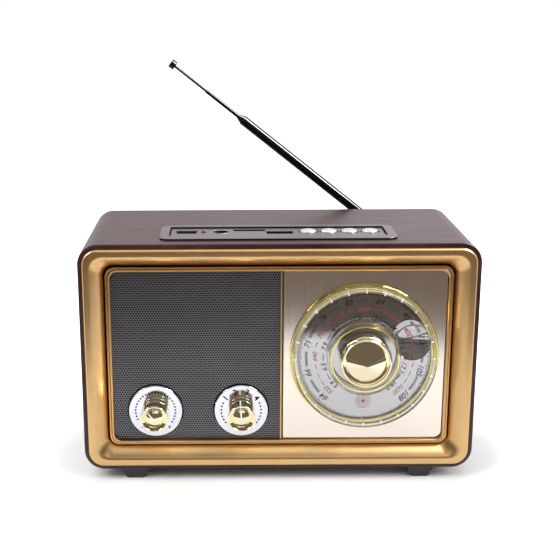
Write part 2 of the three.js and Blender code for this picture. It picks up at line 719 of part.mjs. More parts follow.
/** Centres of the grille's holes: staggered columns that keep clear of the edges and the discs. */
function grilleHoles() {
  const rise = (HOLE_PITCH * Math.sqrt(3)) / 2;
  const keep = HOLE_DIAMETER / 2 + HOLE_MARGIN;
  const discClear = SMALL_DISC_RADIUS + DISC_GAP + keep;
  const [left, right] = [-OPENING_HALF_WIDTH + keep, GRILLE_RIGHT - keep];
  const [bottom, top] = [OPENING_BOTTOM + keep, OPENING_TOP - keep];
  const columns = Math.floor((right - left) / rise);
  const rows = Math.floor((top - bottom) / HOLE_PITCH);
  const firstX = (left + right - columns * rise) / 2;
  const firstZ = (bottom + top - rows * HOLE_PITCH) / 2;
  const holes = [];
  for (let column = 0; column <= columns; column++) {
    for (let row = 0; row <= rows; row++) {
      const x = firstX + column * rise;
      const z = firstZ + (row + (column % 2) / 2) * HOLE_PITCH;
      const nearDisc = [VOLUME_X, BAND_X].some((disc) => Math.hypot(x - disc, z - SMALL_KNOB_Z) < discClear);
      if (z <= top && !nearDisc) holes.push([x, z]);
    }
  }
  return holes;
}

/** The perforated metal grille with round cut-outs for the two scale discs. */
function grilleBody() {
  const [bottom, top] = [OPENING_BOTTOM - GRILLE_TUCK, OPENING_TOP + GRILLE_TUCK];
  const shape = panelShape(GRILLE_LEFT, GRILLE_RIGHT, bottom, top, 0);
  const ring = (x, z, radius, count) => {
    const path = new THREE.Path();
    const corners = Array.from({ length: count }, (_, i) => {
      const angle = (2 * Math.PI * i) / count;
      return new THREE.Vector2(x + radius * Math.cos(angle), z + radius * Math.sin(angle));
    });
    return path.setFromPoints(corners);
  };
  shape.holes = grilleHoles().map(([x, z]) => ring(x, z, HOLE_DIAMETER / 2, 6));
  const discHole = SMALL_DISC_RADIUS + DISC_GAP;
  for (const x of [VOLUME_X, BAND_X]) shape.holes.push(ring(x, SMALL_KNOB_Z, discHole, ROUND_MEDIUM));
  return prismY(shape, GRILLE_FRONT_Y, BAFFLE_FRONT_Y);
}

/** The brushed dial plate with bevelled edges. */
function plateBody() {
  const edge = (inset, y) => loopPlate(inset).map(([x, z]) => new THREE.Vector3(x, y, z));
  const body = skin([
    edge(PLATE_BEVEL, PLATE_FRONT_Y),
    edge(0, PLATE_FRONT_Y + PLATE_BEVEL),
    edge(0, BAFFLE_FRONT_Y),
  ], false);
  return cut(body, rodY(SHAFT_HOLE, DIAL_X, DIAL_Z, PLATE_FRONT_Y - LAP, BAFFLE_FRONT_Y + LAP));
}

/** The plate's outline as a list of points, drawn in by an inset. */
function loopPlate(inset) {
  const shape = panelShape(PLATE_LEFT + inset, PLATE_RIGHT - inset, OPENING_BOTTOM + FIT + inset,
    OPENING_TOP - FIT - inset, 0, OPENING_RADIUS - FIT - inset);
  return shape.getPoints(CORNER_STEPS).slice(0, -1).map((p) => [p.x, p.y]);
}

function frontPieces() {
  return [
    piece('front_bezel', FINISH.gold, bezelBody()),
    piece('front_baffle', FINISH.black, baffleBody()),
    piece('speaker_grille', FINISH.gunmetal, grilleBody()),
    piece('dial_plate', FINISH.aluminium, plateBody()),
  ];
}

// ---------------------------------------------------------------- tuning dial

/** A flat ring on the dial's axis. */
const dialRing = (inner, outer, y0, y1) =>
  turnedY([[inner, y0], [outer, y0], [outer, y1], [inner, y1], [inner, y0]], DIAL_X, DIAL_Z, RING_SEGMENTS);

/** Turns a solid clockwise, seen from the front, round a line along Y. */
function turnAbout(body, x, z, degrees) {
  return body.translate([-x, 0, -z]).rotate([0, degrees, 0]).translate([x, 0, z]);
}

/** The clear turning window: a disc with a tapering skirt and notches for the finger. */
function windowBody() {
  const skirtBack = SCALE_FACE_Y - FIT;
  const bore = TUNING_KNOB_RADIUS + FIT;
  const body = turnedY([
    [bore, WINDOW_FRONT_Y],
    [WINDOW_FRONT_RADIUS - WINDOW_EDGE_ROUND, WINDOW_FRONT_Y],
    [WINDOW_FRONT_RADIUS, WINDOW_FRONT_Y + WINDOW_EDGE_ROUND],
    [WINDOW_RADIUS, skirtBack],
    [WINDOW_RADIUS - WINDOW_SKIRT, skirtBack],
    [WINDOW_FRONT_RADIUS - WINDOW_SKIRT, WINDOW_BACK_Y],
    [bore, WINDOW_BACK_Y],
    [bore, WINDOW_FRONT_Y],
  ], DIAL_X, DIAL_Z, ROUND_LARGE);
  const reach = NOTCH_WIDTH / Math.SQRT2;
  const notches = Array.from({ length: NOTCH_COUNT }, (_, i) => {
    const edge = new THREE.BoxGeometry(reach, WINDOW_PROUD * 2, reach);
    edge.rotateY(Math.PI / 4);
    edge.rotateX(Math.atan2(WINDOW_RADIUS - WINDOW_FRONT_RADIUS, WINDOW_PROUD));
    const middle = (WINDOW_RADIUS + WINDOW_FRONT_RADIUS) / 2 + NOTCH_WIDTH / 2 - NOTCH_DEPTH;
    edge.translate(DIAL_X, (WINDOW_FRONT_Y + skirtBack) / 2, DIAL_Z + middle);
    return turnAbout(solid(edge), DIAL_X, DIAL_Z, (360 * i) / NOTCH_COUNT);
  });
  const seat = atLens(rodY(LENS_RADIUS + FIT, DIAL_X, DIAL_Z + LENS_ORBIT, WINDOW_FRONT_Y - LAP,
    WINDOW_BACK_Y + LAP, ROUND_MEDIUM));
  return cut(body, ...notches, seat);
}

/** Turns something made above the dial's centre to the lens's resting place. */
const atLens = (body) => turnAbout(body, DIAL_X, DIAL_Z, LENS_ANGLE);

/** The flat-backed magnifying lens. */
function lensBody() {
  const dome = quarter(LENS_RADIUS, WINDOW_FRONT_Y, 0, WINDOW_FRONT_Y - LENS_DOME, 5, true);
  const profile = [[0, WINDOW_BACK_Y], [LENS_RADIUS, WINDOW_BACK_Y], ...dome];
  return atLens(turnedY(profile, DIAL_X, DIAL_Z + LENS_ORBIT));
}

/** The tuning knob: a plain skirt, a knurled band, a bright rim and a convex cone. */
function tuningKnobBody() {
  const base = SCALE_FACE_Y - FIT;
  const front = SCALE_FACE_Y - TUNING_KNOB_FRONT;
  const knurlFront = front + KNURL_CHAMFER;
  const knurlBack = knurlFront + KNURL_BAND;
  const waist = TUNING_KNOB_RADIUS - KNURL_DEPTH;
  const coneBase = front + TUNING_CONE_SINK;
  const body = turnedY([
    [0, base],
    [TUNING_KNOB_RADIUS, base],
    [TUNING_KNOB_RADIUS, knurlBack + KNURL_DEPTH],
    [waist, knurlBack],
    [waist, knurlFront],
    [waist - KNURL_CHAMFER, front],
    [TUNING_CONE_RADIUS + TUNING_CONE_STEP, front],
    [TUNING_CONE_RADIUS, coneBase],
    [0, coneBase - TUNING_CONE_HEIGHT],
  ], DIAL_X, DIAL_Z, KNURL_TEETH);
  const teeth = new THREE.Shape();
  for (let i = 0; i < KNURL_TEETH * 2; i++) {
    const angle = (Math.PI * i) / KNURL_TEETH;
    const radius = i % 2 ? waist - KNURL_DEPTH : TUNING_KNOB_RADIUS;
    teeth[i ? 'lineTo' : 'moveTo'](DIAL_X + radius * Math.cos(angle), DIAL_Z + radius * Math.sin(angle));
  }
  const bore = rodY(SHAFT_RADIUS + FIT, DIAL_X, DIAL_Z, front + TUNING_BORE_START, base + LAP);
  return cut(fuse(body, prismY(teeth, knurlFront, knurlBack)), bore);
}

/** A control shaft with a flat, from inside its knob to inside the part that it turns. */
function shaftBody(x, z, y0, y1) {
  const flat = block(x + SHAFT_RADIUS - SHAFT_FLAT, x + SHAFT_RADIUS + LAP, y0 - LAP, SCALE_FACE_Y - LAP,
    z - SHAFT_RADIUS, z + SHAFT_RADIUS);
  return cut(rodY(SHAFT_RADIUS, x, z, y0, y1), flat);
}

/** The tuning capacitor: a square can on a round bush. */
function capacitorBody() {
  const bushEnd = BAFFLE_BACK_Y + CAPACITOR_BUSH_LENGTH;
  const half = CAPACITOR_SIZE / 2;
  const can = block(DIAL_X - half, DIAL_X + half, bushEnd, bushEnd + CAPACITOR_DEPTH,
    DIAL_Z - half, DIAL_Z + half);
  const bush = rodY(CAPACITOR_BUSH_RADIUS, DIAL_X, DIAL_Z, BAFFLE_BACK_Y, bushEnd + LAP);
  const bore = rodY(SHAFT_RADIUS + FIT, DIAL_X, DIAL_Z, BAFFLE_BACK_Y - LAP, bushEnd + BORE_IN_CONTROL);
  return cut(fuse(can, bush), bore);
}

function dialPieces() {
  const face = PLATE_FRONT_Y;
  const shaftStart = SCALE_FACE_Y - TUNING_KNOB_FRONT + TUNING_BORE_START + FIT;
  const shaftEnd = BAFFLE_BACK_Y + CAPACITOR_BUSH_LENGTH + BORE_IN_CONTROL - FIT;
  return [
    piece('scale_disc', FINISH.scale, dialRing(SHAFT_HOLE, SCALE_DISC_RADIUS, SCALE_FACE_Y, face)),
    piece('dial_outer_ring', FINISH.polishedGold,
      dialRing(WINDOW_RADIUS - OUTER_RING_WIDTH, WINDOW_RADIUS, face - OUTER_RING_THICKNESS, face)),
    piece('dial_inner_ring', FINISH.polishedGold, dialRing(INNER_RING_RADIUS - INNER_RING_WIDTH,
      INNER_RING_RADIUS, WINDOW_BACK_Y, WINDOW_BACK_Y + INNER_RING_THICKNESS)),
    piece('dial_window', FINISH.clear, windowBody()),
    piece('magnifier_lens', FINISH.clear, lensBody()),
    piece('tuning_knob', FINISH.polishedGold, tuningKnobBody()),
    piece('tuning_shaft', FINISH.steel, shaftBody(DIAL_X, DIAL_Z, shaftStart, shaftEnd)),
    piece('tuning_capacitor', FINISH.steel, capacitorBody()),
  ];
}

// ---------------------------------------------------------------- small knobs

/** A small knob: collar, body, bright rim, dished face and a cone, with a pointer groove. */
function smallKnobBody(x, angle) {
  const base = SMALL_FACE_Y - FIT;
  const front = SMALL_FACE_Y - SMALL_KNOB_FRONT;
  const collar = SMALL_FACE_Y - SMALL_KNOB_COLLAR;
  const outline = (skinDepth) => {
    const r = SMALL_KNOB_RADIUS - skinDepth;
    const f = front + skinDepth;
    return turnedY([
      [0, base],
      [r, base],
      [r, collar],
      [r - SMALL_GROOVE, collar - SMALL_GROOVE],
      [r, collar - 2 * SMALL_GROOVE],
      [r, f + SMALL_RIM_ROUND],
      [r - SMALL_RIM_ROUND, f],
      [r - SMALL_RIM_WIDTH, f],
      [SMALL_CONE_RADIUS, f + SMALL_CONE_SINK],
      [0, f + SMALL_CONE_SINK - SMALL_CONE_HEIGHT],
    ], x, SMALL_KNOB_Z, 20);
  };
  const blade = block(x - POINTER_WIDTH / 2, x + POINTER_WIDTH / 2, front - SMALL_CONE_HEIGHT, collar - LAP,
    SMALL_KNOB_Z, SMALL_KNOB_Z + SMALL_KNOB_RADIUS + LAP);
  const groove = turnAbout(cut(blade, outline(POINTER_DEPTH)), x, SMALL_KNOB_Z, angle);
  const bore = rodY(SHAFT_RADIUS + FIT, x, SMALL_KNOB_Z, front + SMALL_BORE_START, base + LAP);
  return cut(outline(0), groove, bore);
}

/** A white scale disc with a softened edge and a hole for the shaft. */
function smallDiscBody(x) {
  return turnedY([
    [SHAFT_HOLE, SMALL_FACE_Y],
    [SMALL_DISC_RADIUS - SMALL_DISC_ROUND, SMALL_FACE_Y],
    [SMALL_DISC_RADIUS, SMALL_FACE_Y + SMALL_DISC_ROUND],
    [SMALL_DISC_RADIUS, BAFFLE_FRONT_Y],
    [SHAFT_HOLE, BAFFLE_FRONT_Y],
    [SHAFT_HOLE, SMALL_FACE_Y],
  ], x, SMALL_KNOB_Z, 28);
}

/** A round control behind the baffle: threaded bush, can and solder tab. */
function controlBody(x) {
  const bushEnd = BAFFLE_BACK_Y + POT_BUSH_LENGTH;
  const can = rodY(POT_RADIUS, x, SMALL_KNOB_Z, bushEnd, bushEnd + POT_DEPTH, ROUND_BODY);
  const bush = rodY(POT_BUSH_RADIUS, x, SMALL_KNOB_Z, BAFFLE_BACK_Y, bushEnd + LAP);
  const tab = block(x - POT_TAB, x + POT_TAB, bushEnd + LAP, bushEnd + LAP + BOARD_THICKNESS,
    SMALL_KNOB_Z - POT_RADIUS - POT_TAB, SMALL_KNOB_Z);
  const bore = rodY(SHAFT_RADIUS + FIT, x, SMALL_KNOB_Z, BAFFLE_BACK_Y - LAP, bushEnd + BORE_IN_CONTROL);
  return cut(fuse(can, bush, tab), bore);
}

function smallKnobPieces(name, controlName, x, angle) {
  const shaftStart = SMALL_FACE_Y - SMALL_KNOB_FRONT + SMALL_BORE_START + FIT;
  const shaftEnd = BAFFLE_BACK_Y + POT_BUSH_LENGTH + BORE_IN_CONTROL - FIT;
  return [
    piece(`${name}_disc`, FINISH.white, smallDiscBody(x)),
    piece(`${name}_knob`, FINISH.polishedGold, smallKnobBody(x, angle)),
    piece(`${name}_shaft`, FINISH.steel, rodY(SHAFT_RADIUS, x, SMALL_KNOB_Z, shaftStart, shaftEnd)),
    piece(controlName, FINISH.steel, controlBody(x)),
  ];
}

// ---------------------------------------------------------------- loudspeaker

/** The pressed basket with four windows. */
function basketBody() {
  const y0 = BAFFLE_BACK_Y;
  const y1 = y0 + SPEAKER_DEPTH;
  const throat = MAGNET_RADIUS - SPEAKER_FLANGE;
  const body = turnedY([
    [SPEAKER_LIP, y0],
    [SPEAKER_RADIUS, y0],
    [SPEAKER_RADIUS, y0 + SPEAKER_SHEET],
    [SPEAKER_LIP + SPEAKER_SHEET, y0 + SPEAKER_SHEET + SPEAKER_STRAIGHT],
    [throat + SPEAKER_SHEET, y1],
    [CONE_THROAT, y1],
    [CONE_THROAT, y1 - SPEAKER_SHEET],
    [throat, y1 - SPEAKER_SHEET],
    [SPEAKER_LIP, y0 + SPEAKER_STRAIGHT],
    [SPEAKER_LIP, y0],
  ], SPEAKER_X, SPEAKER_Z, ROUND_BODY);
  const spread = SPEAKER_RADIUS * Math.SQRT1_2;
  const half = SPEAKER_WINDOW / 2;
  const windows = [-1, 1].flatMap((sx) => [-1, 1].map((sz) => {
    const [x, z] = [SPEAKER_X + sx * spread, SPEAKER_Z + sz * spread];
    return block(x - half, x + half, y0 + SPEAKER_STRAIGHT + LAP, y1 - 2 * SPEAKER_SHEET, z - half, z + half);
  }));
  return cut(body, ...windows);
}

/** The paper cone with its rolled edge and dust cap. */
function coneBody() {
  const y0 = BAFFLE_BACK_Y + FIT;
  const rim = SPEAKER_LIP - FIT;
  const deep = y0 + CONE_DEPTH;
  const roll = rim - CONE_ROLL;
  return turnedY([
    [0, deep - CONE_CAP_RISE],
    [CONE_THROAT * 0.6, deep - CONE_CAP_RISE * 0.8],
    [CONE_THROAT, deep],
    [roll - CONE_ROLL_HEIGHT, y0 + CONE_ROLL_HEIGHT],
    [roll, y0],
    [rim - CONE_ROLL_HEIGHT, y0],
    [rim, y0 + CONE_ROLL_HEIGHT],
    [rim, y0 + CONE_ROLL_HEIGHT + CONE_PAPER],
    [rim - CONE_ROLL_HEIGHT, y0 + CONE_PAPER],
    [roll, y0 + CONE_PAPER],
    [roll - CONE_ROLL_HEIGHT, y0 + CONE_ROLL_HEIGHT + CONE_PAPER],
    [CONE_THROAT, deep + CONE_PAPER],
    [CONE_THROAT * 0.6, deep - CONE_CAP_RISE * 0.8 + CONE_PAPER],
    [0, deep - CONE_CAP_RISE + CONE_PAPER],
  ], SPEAKER_X, SPEAKER_Z, ROUND_BODY);
}

/** The magnet between its pole plates, behind the basket. */
function magnetBody() {
  const y0 = BAFFLE_BACK_Y + SPEAKER_DEPTH;
  const y1 = y0 + MAGNET_THICKNESS;
  const plate = MAGNET_RADIUS - POLE_STEP;
  return turnedY([
    [0, y0],
    [plate, y0],
    [plate, y0 + POLE_THICKNESS],
    [MAGNET_RADIUS, y0 + POLE_THICKNESS],
    [MAGNET_RADIUS, y1 - POLE_THICKNESS],
    [plate, y1 - POLE_THICKNESS],
    [plate, y1],
    [0, y1],
  ], SPEAKER_X, SPEAKER_Z, ROUND_BODY);
}

function speakerPieces() {
  return [
    piece('speaker_basket', FINISH.steel, basketBody()),
    piece('speaker_cone', FINISH.paper, coneBody()),
    piece('speaker_magnet', FINISH.ferrite, magnetBody()),
  ];
}

// ---------------------------------------------------------------- top panel

const buttonX = (index) => BUTTON_FIRST_X + index * BUTTON_PITCH;

/** A rectangle in plan round a centre. */
const planRect = (x, y, width, depth, radius) =>
  panelShape(x - width / 2, x + width / 2, y - depth / 2, y + depth / 2, radius);

/** The panel: a bevelled flange on the wood, a sunk floor with the openings, and a skirt below. */
function topPanelBody() {
  const middleY = (PANEL_FRONT_Y + PANEL_BACK_Y) / 2;
  const depth = PANEL_BACK_Y - PANEL_FRONT_Y;
  const outer = (inset, z) => loop(-PANEL_HALF_WIDTH + inset, PANEL_HALF_WIDTH - inset,
    middleY - depth / 2 + inset, middleY + depth / 2 - inset, PANEL_RADIUS - inset,
    (x, y) => new THREE.Vector3(x, y, z));
  const flange = skin([
    outer(0, CABINET_HEIGHT),
    outer(0, PANEL_TOP - PANEL_BEVEL),
    outer(PANEL_BEVEL, PANEL_TOP),
  ], false);
  const tray = (grow, z0, z1) => prismZ(planRect(0, TRAY_CENTRE_Y, TRAY_HALF_WIDTH * 2 + grow,
    TRAY_DEPTH + grow, TRAY_RADIUS + grow / 2), z0, z1, 2);
  const skirt = tray(2 * TRAY_WALL, CABINET_HEIGHT - TRAY_SKIRT, CABINET_HEIGHT + PANEL_PROUD / 2);
  const hollow = tray(0, CABINET_HEIGHT - TRAY_SKIRT - LAP, FLOOR_BOTTOM);
  const sunk = tray(0, FLOOR_TOP, PANEL_TOP + LAP);
  const bosses = [-1, 1].flatMap((sx) => [-1, 1].map((sy) => rodZ(PANEL_BOSS_RADIUS,
    sx * (TRAY_HALF_WIDTH - PANEL_BOSS_INSET), TRAY_CENTRE_Y + sy * (TRAY_DEPTH / 2 - PANEL_BOSS_INSET),
    CONTROL_BOARD_TOP, FLOOR_BOTTOM + LAP, ROUND_HIDDEN)));
  const body = fuse(cut(fuse(flange, skirt), hollow, sunk), ...bosses);
  const drill = (radius, x, y) => rodZ(radius, x, y, FLOOR_BOTTOM - LAP, PANEL_TOP, ROUND_BODY);
  const slot = (x, y, width, height) =>
    prismZ(planRect(x, y, width, height, PORT_CORNER), FLOOR_BOTTOM - LAP, PANEL_TOP, 1);
  const grow = 2 * (PORT_SHELL + FIT);
  const buttonHoles = Array.from({ length: BUTTON_COUNT }, (_, i) =>
    drill(BUTTON_RADIUS + FIT, buttonX(i), ITEM_Y));
  return cut(body, ...buttonHoles,
    drill(LED_RADIUS + FIT, LED_X, ITEM_Y),
    drill(JACK_RADIUS + FIT, JACK_X, ITEM_Y),
    slot(SMALL_PORT_X, ITEM_Y, SMALL_PORT_WIDTH + grow, SMALL_PORT_HEIGHT + grow),
    slot(WIDE_PORT_X, WIDE_PORT_Y, WIDE_PORT_WIDTH + grow, WIDE_PORT_HEIGHT + grow),
    slot(CARD_X, CARD_Y, CARD_WIDTH + grow, CARD_HEIGHT + grow));
}

/** A domed push button on a plain stem. */
function buttonBody(x) {
  const rim = FLOOR_TOP + BUTTON_PROUD;
  const dome = quarter(BUTTON_RADIUS, rim, 0, rim + BUTTON_DOME, 3, true);
  const foot = FLOOR_TOP - BUTTON_LENGTH;
  return turnedZ([[0, foot], [BUTTON_RADIUS, foot], ...dome], x, ITEM_Y, ROUND_BODY);
}

/** The board under the panel with a key switch below each button. */
function controlBoardBody() {
  const halfX = TRAY_HALF_WIDTH - FIT;
  const halfY = TRAY_DEPTH / 2 - FIT;
  const board = block(-halfX, halfX, TRAY_CENTRE_Y - halfY, TRAY_CENTRE_Y + halfY,
    CONTROL_BOARD_TOP - BOARD_THICKNESS, CONTROL_BOARD_TOP);
  const keyTop = FLOOR_TOP - BUTTON_LENGTH - BUTTON_TRAVEL - FIT;
  const keys = Array.from({ length: BUTTON_COUNT }, (_, i) =>
    block(buttonX(i) - KEY_SIZE / 2, buttonX(i) + KEY_SIZE / 2, ITEM_Y - KEY_SIZE / 2, ITEM_Y + KEY_SIZE / 2,
      CONTROL_BOARD_TOP - LAP, keyTop));
  return fuse(board, ...keys);
}

/** A folded metal socket, open at the top, that stands on the control board. */
function portBody(x, y, width, height, hasTongue = false) {
  const outline = planRect(x, y, width + 2 * PORT_SHELL, height + 2 * PORT_SHELL, PORT_CORNER);
  const floor = CONTROL_BOARD_TOP + PORT_FLOOR;
  const cavity = block(x - width / 2, x + width / 2, y - height / 2, y + height / 2, floor, FLOOR_TOP + LAP);
  const shell = cut(prismZ(outline, CONTROL_BOARD_TOP, FLOOR_TOP, 2), cavity);
  if (!hasTongue) return shell;
  const half = (width * TONGUE_SHARE) / 2;
  const back = y + height / 2 - TONGUE_GAP;
  const front = back - TONGUE_THICKNESS;
  const tongue = block(x - half, x + half, front, back, floor - LAP, FLOOR_TOP - PORT_FLOOR);
  return fuse(shell, tongue);
}

/** The round headphone jack: a flared mouth over a narrow bore. */
function jackBody() {
  const floor = FLOOR_TOP - JACK_FLARE_DEPTH;
  const mouth = FLOOR_TOP + JACK_PROUD;
  const foot = CONTROL_BOARD_TOP;
  return turnedZ([
    [0, foot],
    [JACK_RADIUS, foot],
    [JACK_RADIUS, mouth],
    [JACK_FLARE, mouth],
    [JACK_FLARE - JACK_TAPER, floor],
    [JACK_BORE, floor],
    [JACK_BORE, foot + PORT_FLOOR],
    [0, foot + PORT_FLOOR],
  ], JACK_X, ITEM_Y, ROUND_BODY);
}

function ledBody() {
  const dome = quarter(LED_RADIUS, FLOOR_TOP, 0, FLOOR_TOP + LED_PROUD, 3, true);
  const profile = [[0, CONTROL_BOARD_TOP], [LED_RADIUS, CONTROL_BOARD_TOP], ...dome];
  return turnedZ(profile, LED_X, ITEM_Y, ROUND_HIDDEN);
}

function topPieces() {
  const buttons = Array.from({ length: BUTTON_COUNT }, (_, i) =>
    piece(`top_button_${i + 1}`, FINISH.silver, buttonBody(buttonX(i))));
  return [
    piece('top_panel', FINISH.taupe, topPanelBody()),
    ...buttons,
    piece('control_board', FINISH.board, controlBoardBody()),
    piece('small_port', FINISH.steel,
      portBody(SMALL_PORT_X, ITEM_Y, SMALL_PORT_WIDTH, SMALL_PORT_HEIGHT, true)),
    piece('wide_port', FINISH.steel, portBody(WIDE_PORT_X, WIDE_PORT_Y, WIDE_PORT_WIDTH, WIDE_PORT_HEIGHT)),
    piece('card_socket', FINISH.steel, portBody(CARD_X, CARD_Y, CARD_WIDTH, CARD_HEIGHT)),
    piece('headphone_jack', FINISH.silver, jackBody()),
    piece('power_led', FINISH.red, ledBody()),
  ];
}

// ---------------------------------------------------------------- back

const BAY_LEFT = BAY_X - BAY_WIDTH / 2;
const BAY_RIGHT = BAY_X + BAY_WIDTH / 2;
const BAY_TOP_Z = BAY_BOTTOM_Z + BAY_HEIGHT;
const DOOR_AXIS_Y = COVER_BACK_Y - DOOR_BARREL_RADIUS;
const DOOR_AXIS_Z = BAY_BOTTOM_Z + DOOR_BARREL_RADIUS + DOOR_LIP_GAP;

/** Corner places of the cover's screws. */
function screwPlaces() {
  const x = COVER_HALF_WIDTH - SCREW_INSET_X;
  return [[-x, COVER_BOTTOM + SCREW_INSET_Z], [x, COVER_BOTTOM + SCREW_INSET_Z],
    [-x, COVER_TOP - SCREW_INSET_Z], [x, COVER_TOP - SCREW_INSET_Z]];
}

/** The rear cover: a shallow pan with vents, a battery bay, a mains opening and an antenna boss. */
function coverBody() {
  const rimFront = COVER_FRONT_Y - COVER_RIM_DEPTH;
  const [cutFront, cutBack] = [COVER_FRONT_Y - LAP, COVER_BACK_Y + LAP];
  const pan = cut(
    prismY(sleeveShape(0), rimFront, COVER_BACK_Y),
    prismY(sleeveShape(COVER_RIM_WALL), rimFront - LAP, COVER_FRONT_Y),
  );
  const bayFront = COVER_BACK_Y - BAY_DEPTH;
  const bay = block(BAY_LEFT - BAY_WALL, BAY_RIGHT + BAY_WALL, bayFront - BAY_WALL, COVER_BACK_Y - LAP,
    BAY_BOTTOM_Z - BAY_WALL, BAY_TOP_Z + BAY_WALL);
  const bossBack = COVER_BACK_Y + ANTENNA_BASE_HEIGHT;
  const boss = rodY(ANTENNA_BASE_RADIUS, ANTENNA_X, ANTENNA_Z, COVER_FRONT_Y, bossBack, ROUND_MEDIUM);
  const studs = screwPlaces().map(([x, z]) =>
    rodY(SCREW_STUD_RADIUS, x, z, rimFront, COVER_BACK_Y - LAP, ROUND_HIDDEN));
  const holes = screwPlaces().map(([x, z]) =>
    rodY(SCREW_SHANK_RADIUS + FIT, x, z, COVER_BACK_Y - SCREW_LENGTH - FIT, cutBack, ROUND_HIDDEN));
  const vents = Array.from({ length: VENT_COUNT }, (_, i) => {
    const z = VENT_Z + i * VENT_PITCH;
    return block(SPEAKER_X - VENT_LENGTH / 2, SPEAKER_X + VENT_LENGTH / 2, cutFront, cutBack,
      z - VENT_HEIGHT / 2, z + VENT_HEIGHT / 2);
  });
  const hollow = block(BAY_LEFT, BAY_RIGHT, bayFront, cutBack, BAY_BOTTOM_Z, BAY_TOP_Z);
  const reach = DOOR_PIN_LENGTH + FIT;
  const hinge = rodX(DOOR_PIN_RADIUS + FIT, DOOR_AXIS_Y, DOOR_AXIS_Z, BAY_LEFT - reach, BAY_RIGHT + reach);
  const [w, h] = [INLET_WIDTH / 2 + INLET_WALL + FIT, INLET_HEIGHT / 2 + INLET_WALL + FIT];
  const mains = block(INLET_X - w, INLET_X + w, cutFront, cutBack, INLET_Z - h, INLET_Z + h);
  const swivel = rodY(SHAFT_RADIUS + FIT, ANTENNA_X, ANTENNA_Z, cutFront, bossBack + LAP);
  return cut(fuse(pan, bay, boss, ...studs), hollow, hinge, mains, swivel, ...vents, ...holes);
}

/** The battery door: a ribbed plate that turns on pins along its lower edge. */
function doorBody() {
  const [left, right] = [BAY_LEFT + FIT, BAY_RIGHT - FIT];
  const top = BAY_TOP_Z - FIT;
  const plate = block(left, right, COVER_BACK_Y - DOOR_THICKNESS, COVER_BACK_Y, DOOR_AXIS_Z, top);
  const inside = COVER_BACK_Y - DOOR_THICKNESS;
  const barrel = rodX(DOOR_BARREL_RADIUS, DOOR_AXIS_Y, DOOR_AXIS_Z, left, right, ROUND_BODY);
  const [pinLeft, pinRight] = [left - DOOR_PIN_LENGTH, right + DOOR_PIN_LENGTH];
  const pins = rodX(DOOR_PIN_RADIUS, DOOR_AXIS_Y, DOOR_AXIS_Z, pinLeft, pinRight);
  const scoop = rodX(SCOOP_RADIUS, COVER_BACK_Y + SCOOP_RADIUS - DOOR_THICKNESS / 2, top - SCOOP_DROP,
    BAY_X - SCOOP_LENGTH / 2, BAY_X + SCOOP_LENGTH / 2, ROUND_BODY);
  const ribs = [-1, 1].map((side) => {
    const x = BAY_X + (side * DOOR_RIB_SPACING) / 2;
    return block(x - DOOR_RIB_WIDTH / 2, x + DOOR_RIB_WIDTH / 2, inside - DOOR_RIB_DEPTH, inside + LAP,
      DOOR_AXIS_Z + 2 * DOOR_RIB_DEPTH, top - DOOR_RIB_DEPTH);
  });
  return cut(fuse(plate, barrel, pins, ...ribs), scoop);
}

/** Two round cells side by side in one shrink wrap, lying in the battery bay. */
function batteryBody() {
  const y = COVER_BACK_Y - BAY_DEPTH + CELL_RADIUS + FIT;
  const z = BAY_BOTTOM_Z + CELL_RADIUS + FIT;
  const [x0, x1] = [BAY_X - CELL_LENGTH / 2, BAY_X + CELL_LENGTH / 2];
  const lower = rodX(CELL_RADIUS, y, z, x0, x1, ROUND_BODY);
  const upper = rodX(CELL_RADIUS, y, z + 2 * CELL_RADIUS, x0, x1, ROUND_BODY);
  const wrap = block(x0, x1, y - CELL_RADIUS / 2, y + CELL_RADIUS / 2, z, z + 2 * CELL_RADIUS);
  return fuse(lower, upper, wrap);
}

/** A pan-head screw with a cross recess. */
function screwBody(x, z) {
  const head = COVER_BACK_Y + SCREW_HEAD_HEIGHT;
  const tip = COVER_BACK_Y - SCREW_LENGTH;
  const turned = turnedY([
    [0, tip],
    [SCREW_SHANK_RADIUS, tip + SCREW_SHANK_RADIUS],
    [SCREW_SHANK_RADIUS, COVER_BACK_Y],
    [SCREW_HEAD_RADIUS, COVER_BACK_Y],
    [SCREW_HEAD_RADIUS, COVER_BACK_Y + SCREW_HEAD_HEIGHT / 2],
    [SCREW_HEAD_RADIUS * 0.7, head],
    [0, head],
  ], x, z, ROUND_HIDDEN);
  const arm = (width, height) => block(x - width / 2, x + width / 2, head - SCREW_RECESS_DEPTH, head + LAP,
    z - height / 2, z + height / 2);
  return cut(turned, arm(SCREW_RECESS, SCREW_RECESS_WIDTH), arm(SCREW_RECESS_WIDTH, SCREW_RECESS));
}

/** The mains inlet: a flanged socket with two pins. */
function inletBody() {
  const rect = (grow) => panelShape(INLET_X - INLET_WIDTH / 2 - grow, INLET_X + INLET_WIDTH / 2 + grow,
    INLET_Z - INLET_HEIGHT / 2 - grow, INLET_Z + INLET_HEIGHT / 2 + grow, INLET_CORNER);
  const mouth = COVER_BACK_Y + INLET_FLANGE_THICKNESS;
  const floor = mouth - INLET_RECESS;
  const w = INLET_WIDTH / 2 + INLET_WALL;
  const h = INLET_HEIGHT / 2 + INLET_WALL;
  const flange = prismY(rect(INLET_WALL + INLET_FLANGE), COVER_BACK_Y, mouth);
  const box = block(INLET_X - w, INLET_X + w, floor - INLET_FLOOR, COVER_BACK_Y + INLET_FLANGE_THICKNESS / 2,
    INLET_Z - h, INLET_Z + h);
  const recess = prismY(rect(0), floor, mouth + LAP);
  const pins = [-1, 1].map((side) => rodY(INLET_PIN_RADIUS, INLET_X + (side * INLET_PIN_SPACING) / 2, INLET_Z,
    floor - LAP, floor + INLET_PIN_LENGTH, ROUND_HIDDEN));
  return fuse(cut(fuse(flange, box), recess), ...pins);
}

